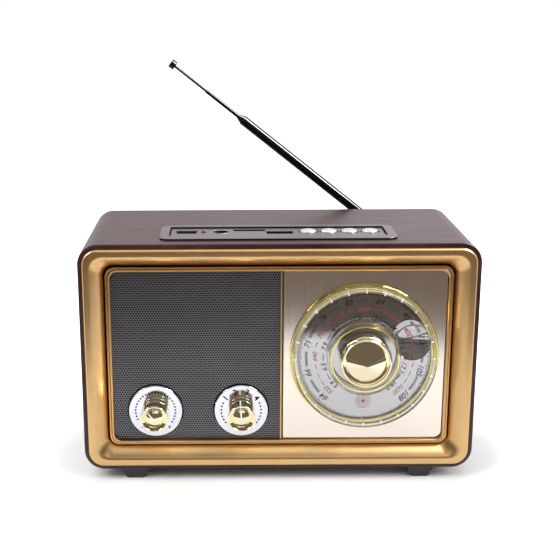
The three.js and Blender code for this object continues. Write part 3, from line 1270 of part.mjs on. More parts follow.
function backPieces() {
  const screws = screwPlaces().map(([x, z], i) =>
    piece(`rear_screw_${i + 1}`, FINISH.black, screwBody(x, z)));
  return [
    piece('rear_cover', FINISH.black, coverBody()),
    piece('battery_door', FINISH.black, doorBody()),
    piece('battery_pack', FINISH.wrap, batteryBody()),
    piece('mains_inlet', FINISH.black, inletBody()),
    ...screws,
  ];
}

// ---------------------------------------------------------------- inside

/** The main board with its larger components, on the baffle's posts. */
function mainBoardBody() {
  const back = MAIN_BOARD_Y + BOARD_THICKNESS;
  const [w, h] = [MAIN_BOARD_WIDTH / 2, MAIN_BOARD_HEIGHT / 2];
  const board = block(DIAL_X - w, DIAL_X + w, MAIN_BOARD_Y, back, DIAL_Z - h, DIAL_Z + h);
  const chips = CHIPS.map(({ x, z, width, height, tall }) => block(DIAL_X + x - width / 2,
    DIAL_X + x + width / 2, back - LAP, back + tall, DIAL_Z + z - height / 2, DIAL_Z + z + height / 2));
  const cans = CAPACITOR_CANS.map(({ x, z, radius, tall }) =>
    rodY(radius, DIAL_X + x, DIAL_Z + z, back - LAP, back + tall, ROUND_HIDDEN));
  return fuse(board, ...chips, ...cans);
}

/** The mains transformer: a laminated core with the winding bulging from it. */
function transformerBody() {
  const x = TRANSFORMER_X;
  const y = TRANSFORMER_Y;
  const core = block(x - CORE_WIDTH / 2, x + CORE_WIDTH / 2, y - CORE_DEPTH / 2, y + CORE_DEPTH / 2,
    INNER_BOTTOM, INNER_BOTTOM + CORE_HEIGHT);
  const outline = planRect(x, y, CORE_WIDTH * COIL_SHARE, CORE_DEPTH + 2 * COIL_BULGE, COIL_RADIUS);
  const leg = (CORE_HEIGHT * (1 - COIL_SHARE)) / 2;
  return fuse(core, prismZ(outline, INNER_BOTTOM + leg, INNER_BOTTOM + CORE_HEIGHT - leg));
}

/** The ferrite rod aerial with its coil, in two clips that stand on the main board. */
function ferriteBody() {
  const y = MAIN_BOARD_Y + BOARD_THICKNESS + ROD_COIL_RADIUS + ROD_CLEARANCE;
  const z = DIAL_Z + MAIN_BOARD_HEIGHT / 2 - ROD_COIL_RADIUS - ROD_CLEARANCE;
  const [x0, x1] = [ROD_X - ROD_LENGTH / 2, ROD_X + ROD_LENGTH / 2];
  const coilStart = ROD_X - ROD_COIL_LENGTH / 2;
  const rod = rodX(ROD_RADIUS, y, z, x0, x1, ROUND_BODY);
  const coil = rodX(ROD_COIL_RADIUS, y, z, coilStart, coilStart + ROD_COIL_LENGTH, ROUND_BODY);
  const clips = [-1, 1].map((side) => {
    const x = ROD_X + (side * CLIP_SPACING) / 2;
    return block(x - CLIP_WIDTH / 2, x + CLIP_WIDTH / 2, MAIN_BOARD_Y + BOARD_THICKNESS, y + ROD_RADIUS / 2,
      z - ROD_COIL_RADIUS, z + ROD_COIL_RADIUS);
  });
  return fuse(rod, coil, ...clips);
}

function insidePieces() {
  return [
    piece('main_board', FINISH.board, mainBoardBody()),
    piece('power_transformer', FINISH.steel, transformerBody()),
    piece('ferrite_aerial', FINISH.ferrite, ferriteBody()),
  ];
}

// ---------------------------------------------------------------- antenna

/** The swivel: a round plate with two tines and a spigot in the cover's boss. */
function swivelBody() {
  const gap = TONGUE_WIDTH / 2 + FIT;
  const plate = rodY(SWIVEL_RADIUS, 0, 0, SWIVEL_BACK_Y, SWIVEL_BACK_Y + SWIVEL_PLATE, ROUND_MEDIUM);
  const spigot = rodY(SHAFT_RADIUS, 0, 0, COVER_FRONT_Y, SWIVEL_BACK_Y + LAP);
  const tines = [-1, 1].map((side) => {
    const [x0, x1] = side > 0 ? [gap, gap + TINE_THICKNESS] : [-gap - TINE_THICKNESS, -gap];
    const ear = rodX(TINE_RADIUS, TILT_Y, 0, x0, x1, ROUND_BODY);
    const root = block(x0, x1, SWIVEL_BACK_Y + SWIVEL_PLATE / 2, TILT_Y, -TINE_RADIUS, TINE_RADIUS);
    return fuse(ear, root);
  });
  const reach = gap + TINE_THICKNESS + LAP;
  return cut(fuse(plate, spigot, ...tines), rodX(HINGE_PIN_RADIUS + FIT, TILT_Y, 0, -reach, reach));
}

/** The knuckle: a tongue between the tines, a neck and a plug for the first tube. */
function knuckleBody() {
  const half = TONGUE_WIDTH / 2;
  const tongue = rodX(TONGUE_RADIUS, TILT_Y, 0, -half, half, ROUND_BODY);
  const neckTop = TUBE_START - TUBE_COLLAR / 2;
  const neck = block(-half, half, TILT_Y - half, TILT_Y + half, 0, neckTop);
  const collar = rodZ(TUBE_RADII[0], 0, TILT_Y, TUBE_START - TUBE_COLLAR, TUBE_START);
  const plug = rodZ(TUBE_RADII[0] - TUBE_WALL - FIT, 0, TILT_Y, TUBE_START - LAP, TUBE_START + TUBE_PLUG);
  const bore = rodX(HINGE_PIN_RADIUS + FIT, TILT_Y, 0, -half - LAP, half + LAP);
  return cut(fuse(tongue, neck, collar, plug), bore);
}

function hingePinBody() {
  const reach = TONGUE_WIDTH / 2 + FIT + TINE_THICKNESS;
  return rodX(HINGE_PIN_RADIUS, TILT_Y, 0, -reach, reach);
}

/** A plain tube of the telescope. */
function tubeBody(radius, z0, z1) {
  const bore = radius - TUBE_WALL;
  return turnedZ([
    [bore, z0],
    [radius, z0],
    [radius, z1 - TUBE_CRIMP],
    [radius - TUBE_WALL / 2, z1],
    [bore, z1],
    [bore, z0],
  ], 0, TILT_Y, ROUND_HIDDEN);
}

/** The last section: a rod with the tip cap crimped on. */
function tipRodBody(z0, z1) {
  const cap = z1 - TIP_CAP_LENGTH;
  const face = TIP_CAP_RADIUS - TIP_CAP_ROUND;
  const rod = TUBE_RADII.at(-1);
  return turnedZ([
    [0, z0],
    [rod, z0],
    [rod, cap],
    [face, cap],
    [TIP_CAP_RADIUS, cap + TIP_CAP_ROUND],
    [TIP_CAP_RADIUS, z1 - TIP_CAP_ROUND],
    [face, z1],
    [0, z1],
  ], 0, TILT_Y, ROUND_HIDDEN);
}

function antennaGroup() {
  const group = new THREE.Group();
  const nestStart = TUBE_START + NEST_SETBACK;
  const nested = [1, 2, 3].map((i) => piece(`antenna_section_${i + 1}`, FINISH.chrome,
    tubeBody(TUBE_RADII[i], nestStart + i * NESTED_STEP, TUBE_REACH + i * NESTED_STEP)));
  const fifthStart = FIFTH_REACH - (TUBE_REACH - nestStart);
  group.add(
    piece('antenna_swivel', FINISH.chrome, swivelBody()),
    piece('antenna_knuckle', FINISH.chrome, knuckleBody()),
    piece('antenna_hinge_pin', FINISH.steel, hingePinBody()),
    piece('antenna_section_1', FINISH.chrome, tubeBody(TUBE_RADII[0], TUBE_START, TUBE_REACH)),
    ...nested,
    piece('antenna_section_5', FINISH.chrome, tubeBody(TUBE_RADII[4], fifthStart, FIFTH_REACH)),
    piece('antenna_section_6', FINISH.chrome, tipRodBody(TIP_REACH - SIXTH_LENGTH, TIP_REACH)),
  );
  group.position.set(ANTENNA_X, 0, ANTENNA_Z);
  group.rotation.y = THREE.MathUtils.degToRad(ANTENNA_LEAN);
  return group;
}

// ---------------------------------------------------------------- assembly

const body = new THREE.Group();
body.add(
  piece('cabinet', FINISH.wood, cabinetBody()),
  ...footPieces(),
  ...frontPieces(),
  ...dialPieces(),
  ...smallKnobPieces('volume', 'volume_control', VOLUME_X, VOLUME_ANGLE),
  ...smallKnobPieces('band', 'band_switch', BAND_X, BAND_ANGLE),
  ...speakerPieces(),
  ...topPieces(),
  ...backPieces(),
  ...insidePieces(),
  antennaGroup(),
);

// The origin lies under the middle of the whole radio, on the surface that it stands on.
const radio = new THREE.Group();
radio.add(body);
radio.updateMatrixWorld(true);
const bounds = new THREE.Box3().setFromObject(radio, true);
const centre = bounds.getCenter(new THREE.Vector3());
body.position.set(-centre.x, -centre.y, -bounds.min.z);

export default radio;
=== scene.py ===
"""A retro tabletop radio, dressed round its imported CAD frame.

Lengths are in millimetres, and MM turns them into metres where a mesh, lamp or camera is made.
"""

import json
import math
from types import SimpleNamespace

import bmesh
import bpy
from mathutils import Matrix, Vector


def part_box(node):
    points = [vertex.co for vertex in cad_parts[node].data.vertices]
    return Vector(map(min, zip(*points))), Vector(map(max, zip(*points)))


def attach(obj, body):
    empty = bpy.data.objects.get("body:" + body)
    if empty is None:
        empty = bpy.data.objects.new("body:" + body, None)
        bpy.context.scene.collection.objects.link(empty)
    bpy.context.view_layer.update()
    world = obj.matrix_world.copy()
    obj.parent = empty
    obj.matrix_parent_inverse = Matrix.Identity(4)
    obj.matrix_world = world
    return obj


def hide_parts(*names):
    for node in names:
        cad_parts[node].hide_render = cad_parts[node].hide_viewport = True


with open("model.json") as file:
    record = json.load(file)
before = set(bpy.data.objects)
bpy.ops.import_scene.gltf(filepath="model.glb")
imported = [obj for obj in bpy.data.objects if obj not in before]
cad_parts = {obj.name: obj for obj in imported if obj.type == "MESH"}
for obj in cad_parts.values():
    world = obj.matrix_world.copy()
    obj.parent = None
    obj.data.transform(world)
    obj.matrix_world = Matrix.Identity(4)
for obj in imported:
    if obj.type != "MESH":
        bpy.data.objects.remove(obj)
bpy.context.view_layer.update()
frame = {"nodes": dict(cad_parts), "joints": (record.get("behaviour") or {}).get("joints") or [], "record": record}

MM = 0.001
SAME_PLACE = 1e-7
CORNER_STEPS = 14
WHITE = (1, 1, 1)

# wooden sleeve and bezel moulding
CABINET_RADIUS = 13
WOOD_WALL = 7
WOOD_EDGE_ROUND = 0.8
BEZEL_INSET = 3
BEZEL_EDGE_ROUND = 1.8
BEZEL_BAND = 2.8
OGEE_WIDTH = 8.2
OGEE_DEPTH = 6.6
OGEE_SLOPES = (12, 34, 41, 46, 52)
LIP_GROOVE = 1.05
BEZEL_SIDE = 17
BEZEL_TOP = 14.8
BEZEL_BOTTOM = 16.5
OPENING_RADIUS = 5

# perforated sheet
PERFORATION_PITCH = 1.7
PERFORATION_DIAMETER = 1.27

# studio levels
WORLD_LIGHT = 0.5
FLOOR_COLOR = 0.84
ROOM_FRONT = (0.150, 0.118, 0.095)
BACKDROP = 0.95

# camera, worked out from the perspective of the object's straight edges
CAMERA_PLACE = (-31.690, -774.870, 314.503)
CAMERA_DROP = 0.28672
CAMERA_ROLL = -0.00538
CAMERA_LENS = 75.41
CAMERA_SHIFT = (0.0901, 0.0914)


def box(node):
    """A CAD node's box in millimetres: lowest, highest and middle on each axis."""
    lo, hi = (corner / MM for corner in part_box(node))
    return SimpleNamespace(
        x0=lo.x, x1=hi.x, y0=lo.y, y1=hi.y, z0=lo.z, z1=hi.z,
        x=(lo.x + hi.x) / 2, y=(lo.y + hi.y) / 2, z=(lo.z + hi.z) / 2,
    )


# ------ meshes


def added(name, data):
    """A new object in the scene."""
    obj = bpy.data.objects.new(name, data)
    bpy.context.scene.collection.objects.link(obj)
    return obj


def drawn(name, geometry, material=None):
    """An object from vertices and faces in millimetres, just as they are."""
    vertices, faces = geometry
    mesh = bpy.data.meshes.new(name)
    mesh.from_pydata([Vector(v) * MM for v in vertices], [], faces)
    if material:
        mesh.materials.append(material)
    return added(name, mesh)


def welded(name, geometry, dissolve=True):
    """The same with its seams closed and its faces turned outwards."""
    obj = drawn(name, geometry)
    bm = bmesh.new()
    bm.from_mesh(obj.data)
    bmesh.ops.remove_doubles(bm, verts=bm.verts, dist=SAME_PLACE)
    if dissolve:
        bmesh.ops.dissolve_degenerate(bm, edges=bm.edges, dist=SAME_PLACE)
    bmesh.ops.recalc_face_normals(bm, faces=bm.faces)
    bm.to_mesh(obj.data)
    bm.free()
    return obj


def piece(name, geometry, slot, replaces=(), body="radio", material=None, sharp=32, cutters=()):
    """A finished piece that rides on its body, in its slot's material unless another is given."""
    obj = welded(name, geometry)
    for cutter in cutters:
        cut(obj, cutter)
    obj.data.materials.append(material or MATERIALS[slot])
    obj.data.shade_smooth()
    obj.data.set_sharp_from_angle(angle=math.radians(sharp))
    settle(obj, "WEIGHTED_NORMAL", keep_sharp=True, weight=100)
    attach(obj, body)
    if replaces:
        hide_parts(*replaces)


def shade_lining(name, geometry):
    """A dead black surface behind an opening or under an edge, standing in for the shade there: painted shade."""
    piece(name, geometry, "black_plastic", material=SHADE_BLACK)


def settle(obj, kind, **values):
    """Adds a modifier and keeps its result as the mesh."""
    modifier = obj.modifiers.new("settle", kind)
    for key, value in values.items():
        setattr(modifier, key, value)
    done = bpy.data.meshes.new_from_object(obj.evaluated_get(bpy.context.evaluated_depsgraph_get()))
    obj.modifiers.clear()
    obj.data = done


def cut(obj, geometry):
    """Cuts a closed shape out of a piece."""
    tool = welded("cutter", geometry, dissolve=False)
    settle(obj, "BOOLEAN", operation="DIFFERENCE", solver="EXACT", object=tool)
    bpy.data.objects.remove(tool)


def skin(rings, closed=False, capped=False):
    """Vertices and faces of a surface through rings of points, closed on itself or capped at its ends."""
    count = len(rings[0])
    vertices = [p for ring in rings for p in ring]
    faces = []
    for row in range(len(rings) if closed else len(rings) - 1):
        a, b = row * count, (row + 1) % len(rings) * count
        faces += [(a + i, a + (i + 1) % count, b + (i + 1) % count, b + i) for i in range(count)]
    if capped:
        last = (len(rings) - 1) * count
        faces += [tuple(range(count)), tuple(range(last, last + count))]
    return vertices, faces


def rounded_rect(x0, x1, z0, z1, radius, steps=CORNER_STEPS):
    """Points round a rectangle with rounded corners."""
    points = []
    left, right, low, high = x0 + radius, x1 - radius, z0 + radius, z1 - radius
    for cx, cz, start in ((right, low, -90), (right, high, 0), (left, high, 90), (left, low, 180)):
        for i in range(steps + 1):
            a = math.radians(start + 90 * i / steps)
            points.append((cx + radius * math.cos(a), cz + radius * math.sin(a)))
    return points


def facing(y, outline):
    """An outline that faces the front."""
    return [(x, y, z) for x, z in outline]


def level(z, outline):
    """An outline that lies flat."""
    return [(x, y, z) for x, y in outline]


def upright(x0, x1, y, z0, z1):
    """The corners of a rectangle that faces the front."""
    return facing(y, [(x0, z0), (x1, z0), (x1, z1), (x0, z1)])


def flat(x0, x1, y0, y1, z):
    """The corners of a rectangle that lies flat."""
    return level(z, [(x0, y0), (x1, y0), (x1, y1), (x0, y1)])


def fillet(points, radius, steps=4, closed=False):
    """An outline with its corners rounded. radius is one value or one for each point."""
    radii = radius if hasattr(radius, "__len__") else [radius] * len(points)
    rounded = []
    count = len(points)
    for i, point in enumerate(points):
        here = Vector(point)
        ends = not closed and i in (0, count - 1)
        if ends or radii[i] <= 0:
            rounded.append(tuple(here))
            continue
        before, after = Vector(points[i - 1]) - here, Vector(points[(i + 1) % count]) - here
        turn = before.angle(after)
        reach = min(radii[i] / math.tan(turn / 2), before.length * 0.49, after.length * 0.49)
        a, b = here + before.normalized() * reach, here + after.normalized() * reach
        for k in range(steps + 1):
            t = k / steps
            rounded.append(tuple(a * (1 - t) ** 2 + here * 2 * t * (1 - t) + b * t**2))
    return rounded


def bow(x0, y0, x1, y1, steps=6, hollow=True):
    """A quarter of an ellipse between two points."""
    points = []
    for i in range(steps + 1):
        a = math.pi / 2 * i / steps
        s, c = math.sin(a), 1 - math.cos(a)
        u, v = (c, s) if hollow else (s, c)
        points.append((x0 + (x1 - x0) * u, y0 + (y1 - y0) * v))
    return points


def turned(profile, centre, axis="Y", segments=96, closed=False, radius_at=None):
    """A profile of (radius, along) pairs turned about a line along Y or Z.

    radius_at(radius, along, angle) may vary the radius round the turn.
    """
    rings = []
    for r, along in profile:
        ring = []
        for i in range(segments):
            a = 2 * math.pi * i / segments
            reach = radius_at(r, along, a) if radius_at else r
            u, v = centre[0] + reach * math.sin(a), centre[1] + reach * math.cos(a)
            ring.append((u, along, v) if axis == "Y" else (u, v, along))
        rings.append(ring)
    return skin(rings, closed=closed)


def block(x0, x1, y0, y1, z0, z1):
    """A plain box, for cutting and for the sockets' tongues."""
    return skin([[(x, y0, z0), (x, y1, z0), (x, y1, z1), (x, y0, z1)] for x in (x0, x1)], capped=True)


def joined(*parts):
    """Several sets of vertices and faces as one."""
    vertices, faces = [], []
    for more_vertices, more_faces in parts:
        start = len(vertices)
        vertices += more_vertices
        faces += [tuple(start + i for i in face) for face in more_faces]
    return vertices, faces


# ------ materials


class Finish:
    """A material under construction: a Principled shader and the nodes that feed it."""

    def __init__(self, name, color, roughness, metallic=0.0, **inputs):
        self.material = bpy.data.materials.new(name)
        self.material.use_nodes = True
        self.tree = self.material.node_tree
        self.shader = self.tree.nodes["Principled BSDF"]
        self.color = (*color, 1)
        self.shader.inputs["Base Color"].default_value = self.color
        self.shader.inputs["Roughness"].default_value = roughness
        self.shader.inputs["Metallic"].default_value = metallic
        for key, value in inputs.items():
            self.shader.inputs[key.replace("_", " ")].default_value = value

    def node(self, kind, **values):
        made = self.tree.nodes.new(kind)
        for key, value in values.items():
            if hasattr(made, key):
                setattr(made, key, value)
            else:
                made.inputs[key.replace("_", " ")].default_value = value
        return made

    def link(self, source, target):
        self.tree.links.new(source, target)
        return self

    def noise(self, scale, stretch=(1, 1, 1), detail=4, rough=0.55):
        """Noise in object space, at so many waves a millimetre, stretched per axis."""
        place = self.node("ShaderNodeTexCoord")
        mapping = self.node("ShaderNodeMapping", Scale=[scale * s / MM for s in stretch])
        texture = self.node("ShaderNodeTexNoise", Scale=1.0, Detail=detail, Roughness=rough)
        self.link(place.outputs["Object"], mapping.inputs["Vector"])
        self.link(mapping.outputs["Vector"], texture.inputs["Vector"])
        return texture.outputs["Fac"]

    def spread(self, source, low, high, from_low=0.3, from_high=0.7):
        """Maps a value from one range to another."""
        made = self.node("ShaderNodeMapRange")
        limits = {"From Min": from_low, "From Max": from_high, "To Min": low, "To Max": high}
        for key, value in limits.items():
            made.inputs[key].default_value = value
        self.link(source, made.inputs["Value"])
        return made.outputs["Result"]

    def tint(self, source, dark, light, from_low=0.3, from_high=0.7):
        """Base colour between two colours."""
        ramp = self.node("ShaderNodeValToRGB")
        ramp.color_ramp.elements[0].position = from_low
        ramp.color_ramp.elements[1].position = from_high
        ramp.color_ramp.elements[0].color = (*dark, 1)
        ramp.color_ramp.elements[1].color = (*light, 1)
        self.link(source, ramp.inputs["Fac"])
        self.link(ramp.outputs["Color"], self.shader.inputs["Base Color"])
        return ramp.outputs["Color"]

    def rough(self, source, low, high):
        self.link(self.spread(source, low, high), self.shader.inputs["Roughness"])
        return self

    def bump(self, source, depth, strength=1.0):
        """Relief of so many millimetres."""
        made = self.node("ShaderNodeBump", Strength=strength, Distance=depth * MM)
        self.link(source, made.inputs["Height"])
        self.link(made.outputs["Normal"], self.shader.inputs["Normal"])
        return self


def shade(color, factor):
    return tuple(c * factor for c in color)


def wood():
    color = (0.033, 0.0085, 0.0095)
    made = Finish("wood_foil", color, 0.32, Specular_IOR_Level=0.5)
    grain = made.noise(1.0, (0.05, 1.1, 0.05), 6, 0.62)
    made.tint(grain, shade(color, 0.4), shade(color, 1.8))
    made.rough(made.noise(1.0, (0.04, 1.3, 0.04), 3), 0.28, 0.42)
    made.bump(made.noise(1.0, (0.12, 3.2, 0.12), 5, 0.6), 0.05, 0.5)
    return made.material


def metal(name, color, roughness, metallic, blotches, shades, grain, polish):
    """A metal that varies a little. blotches and grain are the scale and detail of noises."""
    made = Finish(name, color, roughness, metallic)
    made.tint(made.noise(blotches[0], detail=blotches[1]), shade(color, shades[0]), shade(color, shades[1]))
    made.rough(made.noise(grain[0], detail=grain[1]), *polish)
    return made.material


def brushed_plate():
    color = (0.95, 0.86, 0.775)
    made = Finish("brushed_plate", color, 0.2, 1.0)
    strokes = made.noise(1.0, (5.0, 5.0, 0.035), 5, 0.7)
    made.tint(strokes, shade(color, 0.94), shade(color, 1.05))
    made.rough(strokes, 0.13, 0.20)
    made.bump(strokes, 0.002, 0.35)
    return made.material


def clear_acrylic():
    made = Finish("clear_acrylic", WHITE, 0.0, Transmission_Weight=1.0, IOR=1.49)
    made.rough(made.noise(0.2, detail=3), 0.0, 0.003)
    light = made.node("ShaderNodeLightPath")
    clear = made.node("ShaderNodeBsdfTransparent")
    mix = made.node("ShaderNodeMixShader")
    made.link(light.outputs["Is Shadow Ray"], mix.inputs[0])
    made.link(made.shader.outputs[0], mix.inputs[1])
    made.link(clear.outputs[0], mix.inputs[2])
    made.link(mix.outputs[0], made.tree.nodes["Material Output"].inputs["Surface"])
    return made.material


def plain(name, color, roughness, metallic=0.0, grain=2.0, relief=0.0, spread=0.05, **inputs):
    """A moulded, lacquered or plated surface with fine variation."""
    made = Finish(name, color, roughness, metallic, **inputs)
    made.tint(made.noise(0.06, detail=3), shade(color, 0.95), shade(color, 1.05))
    made.rough(made.noise(grain, detail=3), max(roughness - spread, 0.02), roughness + spread)
    if relief:
        made.bump(made.noise(grain, detail=2), relief, 0.5)
    return made.material


def ink(name, color):
    """Matt printing ink."""
    return plain(name, color, 0.5, Specular_IOR_Level=0.1)


MATERIALS = {
    "wood": wood(),
    "satin_gold": metal("satin_gold", (0.78, 0.51, 0.235), 0.29, 1.0, (0.05, 3), (0.96, 1.03), (0.4, 3),
                        (0.29, 0.32)),
    "polished_gold": metal("polished_gold", (0.97, 0.90, 0.66), 0.06, 1.0, (0.08, 2), (0.97, 1.02), (0.35, 4),
                           (0.04, 0.09)),
    "gunmetal": metal("gunmetal", (0.235, 0.23, 0.25), 0.38, 0.93, (0.04, 3), (0.92, 1.06), (5.0, 2),
                      (0.34, 0.42)),
    "brushed_aluminium": brushed_plate(),
    "scale_silver": metal("scale_silver", (0.53, 0.52, 0.535), 0.06, 1.0, (0.05, 2), (0.98, 1.02), (0.5, 3),
                          (0.05, 0.08)),
    "clear_acrylic": clear_acrylic(),
    "white_gloss": plain("white_gloss", (0.86, 0.87, 0.94), 0.10, 1.0, spread=0.02),
    "black_plastic": plain("black_plastic", (0.012, 0.012, 0.013), 0.45, grain=3.0, relief=0.05),
    "taupe_metallic": plain("taupe_metallic", (0.185, 0.163, 0.168), 0.34, 0.7, grain=5.0, relief=0.01),
    "silver_plated": plain("silver_plated", (0.66, 0.66, 0.68), 0.36, 0.6),
    # Near-black base: the dark reflections of the antenna's chrome are painted into its colour.
    "chrome": plain("chrome", (0.040, 0.040, 0.042), 0.07, 1.0, spread=0.02),
    "steel": plain("steel", (0.48, 0.49, 0.50), 0.34, 1.0),
    "zinc_can": plain("zinc_can", (0.42, 0.43, 0.44), 0.4, 0.7),
    "red_lens": plain("red_lens", (0.09, 0.006, 0.008), 0.15),
    "rubber": plain("rubber", (0.030, 0.029, 0.031), 0.6, grain=4.0, relief=0.04),
    "board_green": plain("board_green", (0.02, 0.10, 0.045), 0.4, relief=0.02),
    "paper": plain("paper", (0.018, 0.017, 0.017), 0.85, grain=3.0, relief=0.08),
    "ferrite": plain("ferrite", (0.035, 0.033, 0.034), 0.6, grain=4.0, relief=0.03),
    "cell_wrap": plain("cell_wrap", (0.03, 0.09, 0.30), 0.3),
}
INK_BLACK = ink("ink_black", (0.008, 0.008, 0.010))
INK_RED = ink("ink_red", (0.25, 0.035, 0.045))
# Gold for the circle at the scale's rim: a painted reflection of the gold ring.
RING_REFLECTION_GOLD = ink("painted_ring_reflection", (0.62, 0.52, 0.07))
INK_GREY = ink("ink_grey", (0.05, 0.05, 0.058))
# White for the small knobs' pointer grooves: a painted highlight.
POINTER_GLINT = plain("painted_pointer_glint", (0.90, 0.88, 0.82), 0.35)
# Near-black and matt: painted shade for the dark surfaces behind openings and under edges.
SHADE_BLACK = plain("painted_shade_black", (0.004, 0.004, 0.004), 0.9, grain=6.0, relief=0.05, Specular_IOR_Level=0.1)
RING_GOLD = plain("ring_gold", (0.86, 0.74, 0.20), 0.10, 1.0, spread=0.02)
RIBBED = plain("ribbed_gold", (0.80, 0.74, 0.52), 0.25, 1.0, spread=0.02)
# Matt white for the grip notches on the window's rim: painted glints.
NOTCH_GLINT = plain("painted_notch_glint", (0.93, 0.93, 0.93), 0.4)

for part in frame["record"]["subparts"]:
    node = frame["nodes"][part["node"]]
    node.data.materials.clear()
    node.data.materials.append(MATERIALS[part["material_slot"]])

# ------ sleeve and bezel

cabinet = box("cabinet")
front_y = cabinet.y0


def cabinet_piece():
    """The wooden sleeve with softened edges and the cut-out under the top panel."""
    wall, soft = WOOD_WALL, WOOD_EDGE_ROUND
    half = [(wall, 0), *bow(soft, 0, 0, soft, 4, False)]
    section = half + [(inset, cabinet.y1 - cabinet.y0 - y) for inset, y in reversed(half)]

    def ring(inset, y):
        outline = rounded_rect(cabinet.x0 + inset, cabinet.x1 - inset, cabinet.z0 + inset, cabinet.z1 - inset,
                               CABINET_RADIUS - inset)
        return facing(cabinet.y0 + y, outline)

    board = box("control_board")
    gap = block(board.x0 - 2, board.x1 + 2, board.y0 - 2, board.y1 + 2, cabinet.z1 - wall - 1, cabinet.z1 + 1)
    piece("wooden_sleeve", skin([ring(inset, y) for inset, y in section], closed=True), "wood", ["cabinet"],
          cutters=[gap])


def bezel_piece():
    """The gold moulding: rounded edge, flat band, a swelling slope, a deep gap and two beads that step up."""
    bezel = box("front_bezel")
    depth = cabinet.y0 - bezel.y0
    back = bezel.y1 - cabinet.y0
    straight = WOOD_WALL - BEZEL_INSET + 0.3
    start = BEZEL_EDGE_ROUND + BEZEL_BAND
    end = start + OGEE_WIDTH
    lip = end + LIP_GROOVE
    floor = back - 0.4
    rises = [math.tan(math.radians(slope)) for slope in OGEE_SLOPES]
    fall, falls = 0.0, [0.0]
    stretch = 5
    steps = stretch * (len(rises) - 1)
    for i in range(steps):
        before, part = int(i / stretch), i / stretch % 1 + 0.5 / stretch
        fall += rises[before] * (1 - part) + rises[before + 1] * part
        falls.append(fall)
    high = 0.1 - depth
    ogee = [(start + OGEE_WIDTH * i / steps, high + OGEE_DEPTH * f / fall) for i, f in enumerate(falls)]
    bead = (BEZEL_SIDE - lip) / 2
    beads = []
    for first, low, high in ((lip, 3.0, 1.7), (lip + bead, 1.9, 0.5)):
        for i in range(11):
            a = math.radians(180 * i / 10)
            beads.append((first + bead * (1 - math.cos(a)) / 2, low + (high - low) * math.sin(a) ** 0.7))
    edge = bow(0, BEZEL_EDGE_ROUND - depth, BEZEL_EDGE_ROUND, -depth, 6)
    groove = [(end + 0.05, floor), (lip - 0.05, floor)]
    behind = [(BEZEL_SIDE, back - 0.8), (lip + 0.5, back - 0.8), (lip + 0.5, back - 0.05),
              (straight, back - 0.05), (straight, 0)]
    section = [(0, 0), *edge, (start - 0.15, -depth), *ogee, *groove, *beads, *behind]

    def inset(across, side):
        if across <= straight:
            return across
        return straight + (across - straight) * (side - straight) / (BEZEL_SIDE - straight)

    def ring(across, y):
        outer = CABINET_RADIUS - BEZEL_INSET
        radius = outer + (OPENING_RADIUS - CABINET_RADIUS + BEZEL_INSET) * across / BEZEL_SIDE
        outline = rounded_rect(bezel.x0 + across, bezel.x1 - across, bezel.z0 + inset(across, BEZEL_BOTTOM),
                               bezel.z1 - inset(across, BEZEL_TOP), radius)
        return facing(front_y + y, outline)

    near, far = end - 0.3, lip + 0.3
    # A dead black strip on the gap's floor: painted shade between the slope and the beads.
    gap = [(near, floor - 0.15), (far, floor - 0.15), (far, floor + 0.1), (near, floor + 0.1)]
    shade_lining("bezel_gap_shade", skin([ring(across, y) for across, y in gap], closed=True))
    bar_section = fillet([(1, back), (1, 2.2), (2, 2.2), (2, back)], 0.25, 3, True)
    bar = [[(x, front_y + y, z) for x, y in bar_section]
           for z in (bezel.z0 + BEZEL_BOTTOM - 1, bezel.z1 - BEZEL_TOP + 1)]
    surround = skin([ring(across, y) for across, y in section], closed=True)
    piece("bezel_moulding", joined(surround, skin(bar, capped=True)), "satin_gold", ["front_bezel"], sharp=40)


cabinet_piece()
bezel_piece()

# ------ grille and dial plate


def grille_piece():
    """The sheet with its real perforation: staggered round holes in rows along X."""
    sheet, bezel = box("speaker_grille"), box("front_bezel")
    discs = [(box(name).x, box(name).z) for name in ("volume_disc", "band_disc")]
    hole = box("volume_disc").x1 - box("volume_disc").x + 0.8
    pitch, rise = PERFORATION_PITCH, PERFORATION_PITCH * math.sqrt(3) / 2
    rim, side = pitch / math.sqrt(3), pitch / 2
    radius = PERFORATION_DIAMETER / 2
    count, thickness = 12, 0.5
    left, right = sheet.x0 + 0.2, sheet.x1
    bottom, top = bezel.z0 + BEZEL_BOTTOM - 1.2, bezel.z1 - BEZEL_TOP + 1.2

    def fit(x, z):
        for cx, cz in discs:
            reach = math.hypot(x - cx, z - cz)
            if reach < hole:
                x, z = cx + (x - cx) * hole / reach, cz + (z - cz) * hole / reach
        return min(max(x, left), right), min(max(z, bottom), top)

    vertices, faces = [], []
    for row in range(int((top - bottom) / rise) + 2):
        for column in range(int((right - left) / pitch) + 2):
            cx = left + (column + (row % 2) / 2) * pitch
            cz = bottom + row * rise
            if any(math.hypot(cx - x, cz - z) < hole - rim for x, z in discs):
                continue
            start = len(vertices)
            for y, reaches in ((0, (rim, side)), (0, (radius, radius)), (thickness, (radius, radius))):
                for i in range(count):
                    a = math.radians(30 * i + 30)
                    x, z = fit(cx + reaches[i % 2] * math.cos(a), cz + reaches[i % 2] * math.sin(a))
                    vertices.append((x, sheet.y0 + y, z))
            for i in range(count):
                j = (i + 1) % count
                faces += [(a + i, a + j, a + count + j, a + count + i) for a in (start, start + count)]
    low, high = bottom - 0.3, top + 0.3
    # Dead black behind the holes: partly the black cloth behind the sheet, partly painted shade.
    backing = [upright(left, right, sheet.y0 + y, low, high) for y in (0.62, 0.72)]
    shade_lining("grille_backing_shade", skin(backing, capped=True))
    piece("perforated_sheet", (vertices, faces), "gunmetal", ["speaker_grille"], sharp=40)


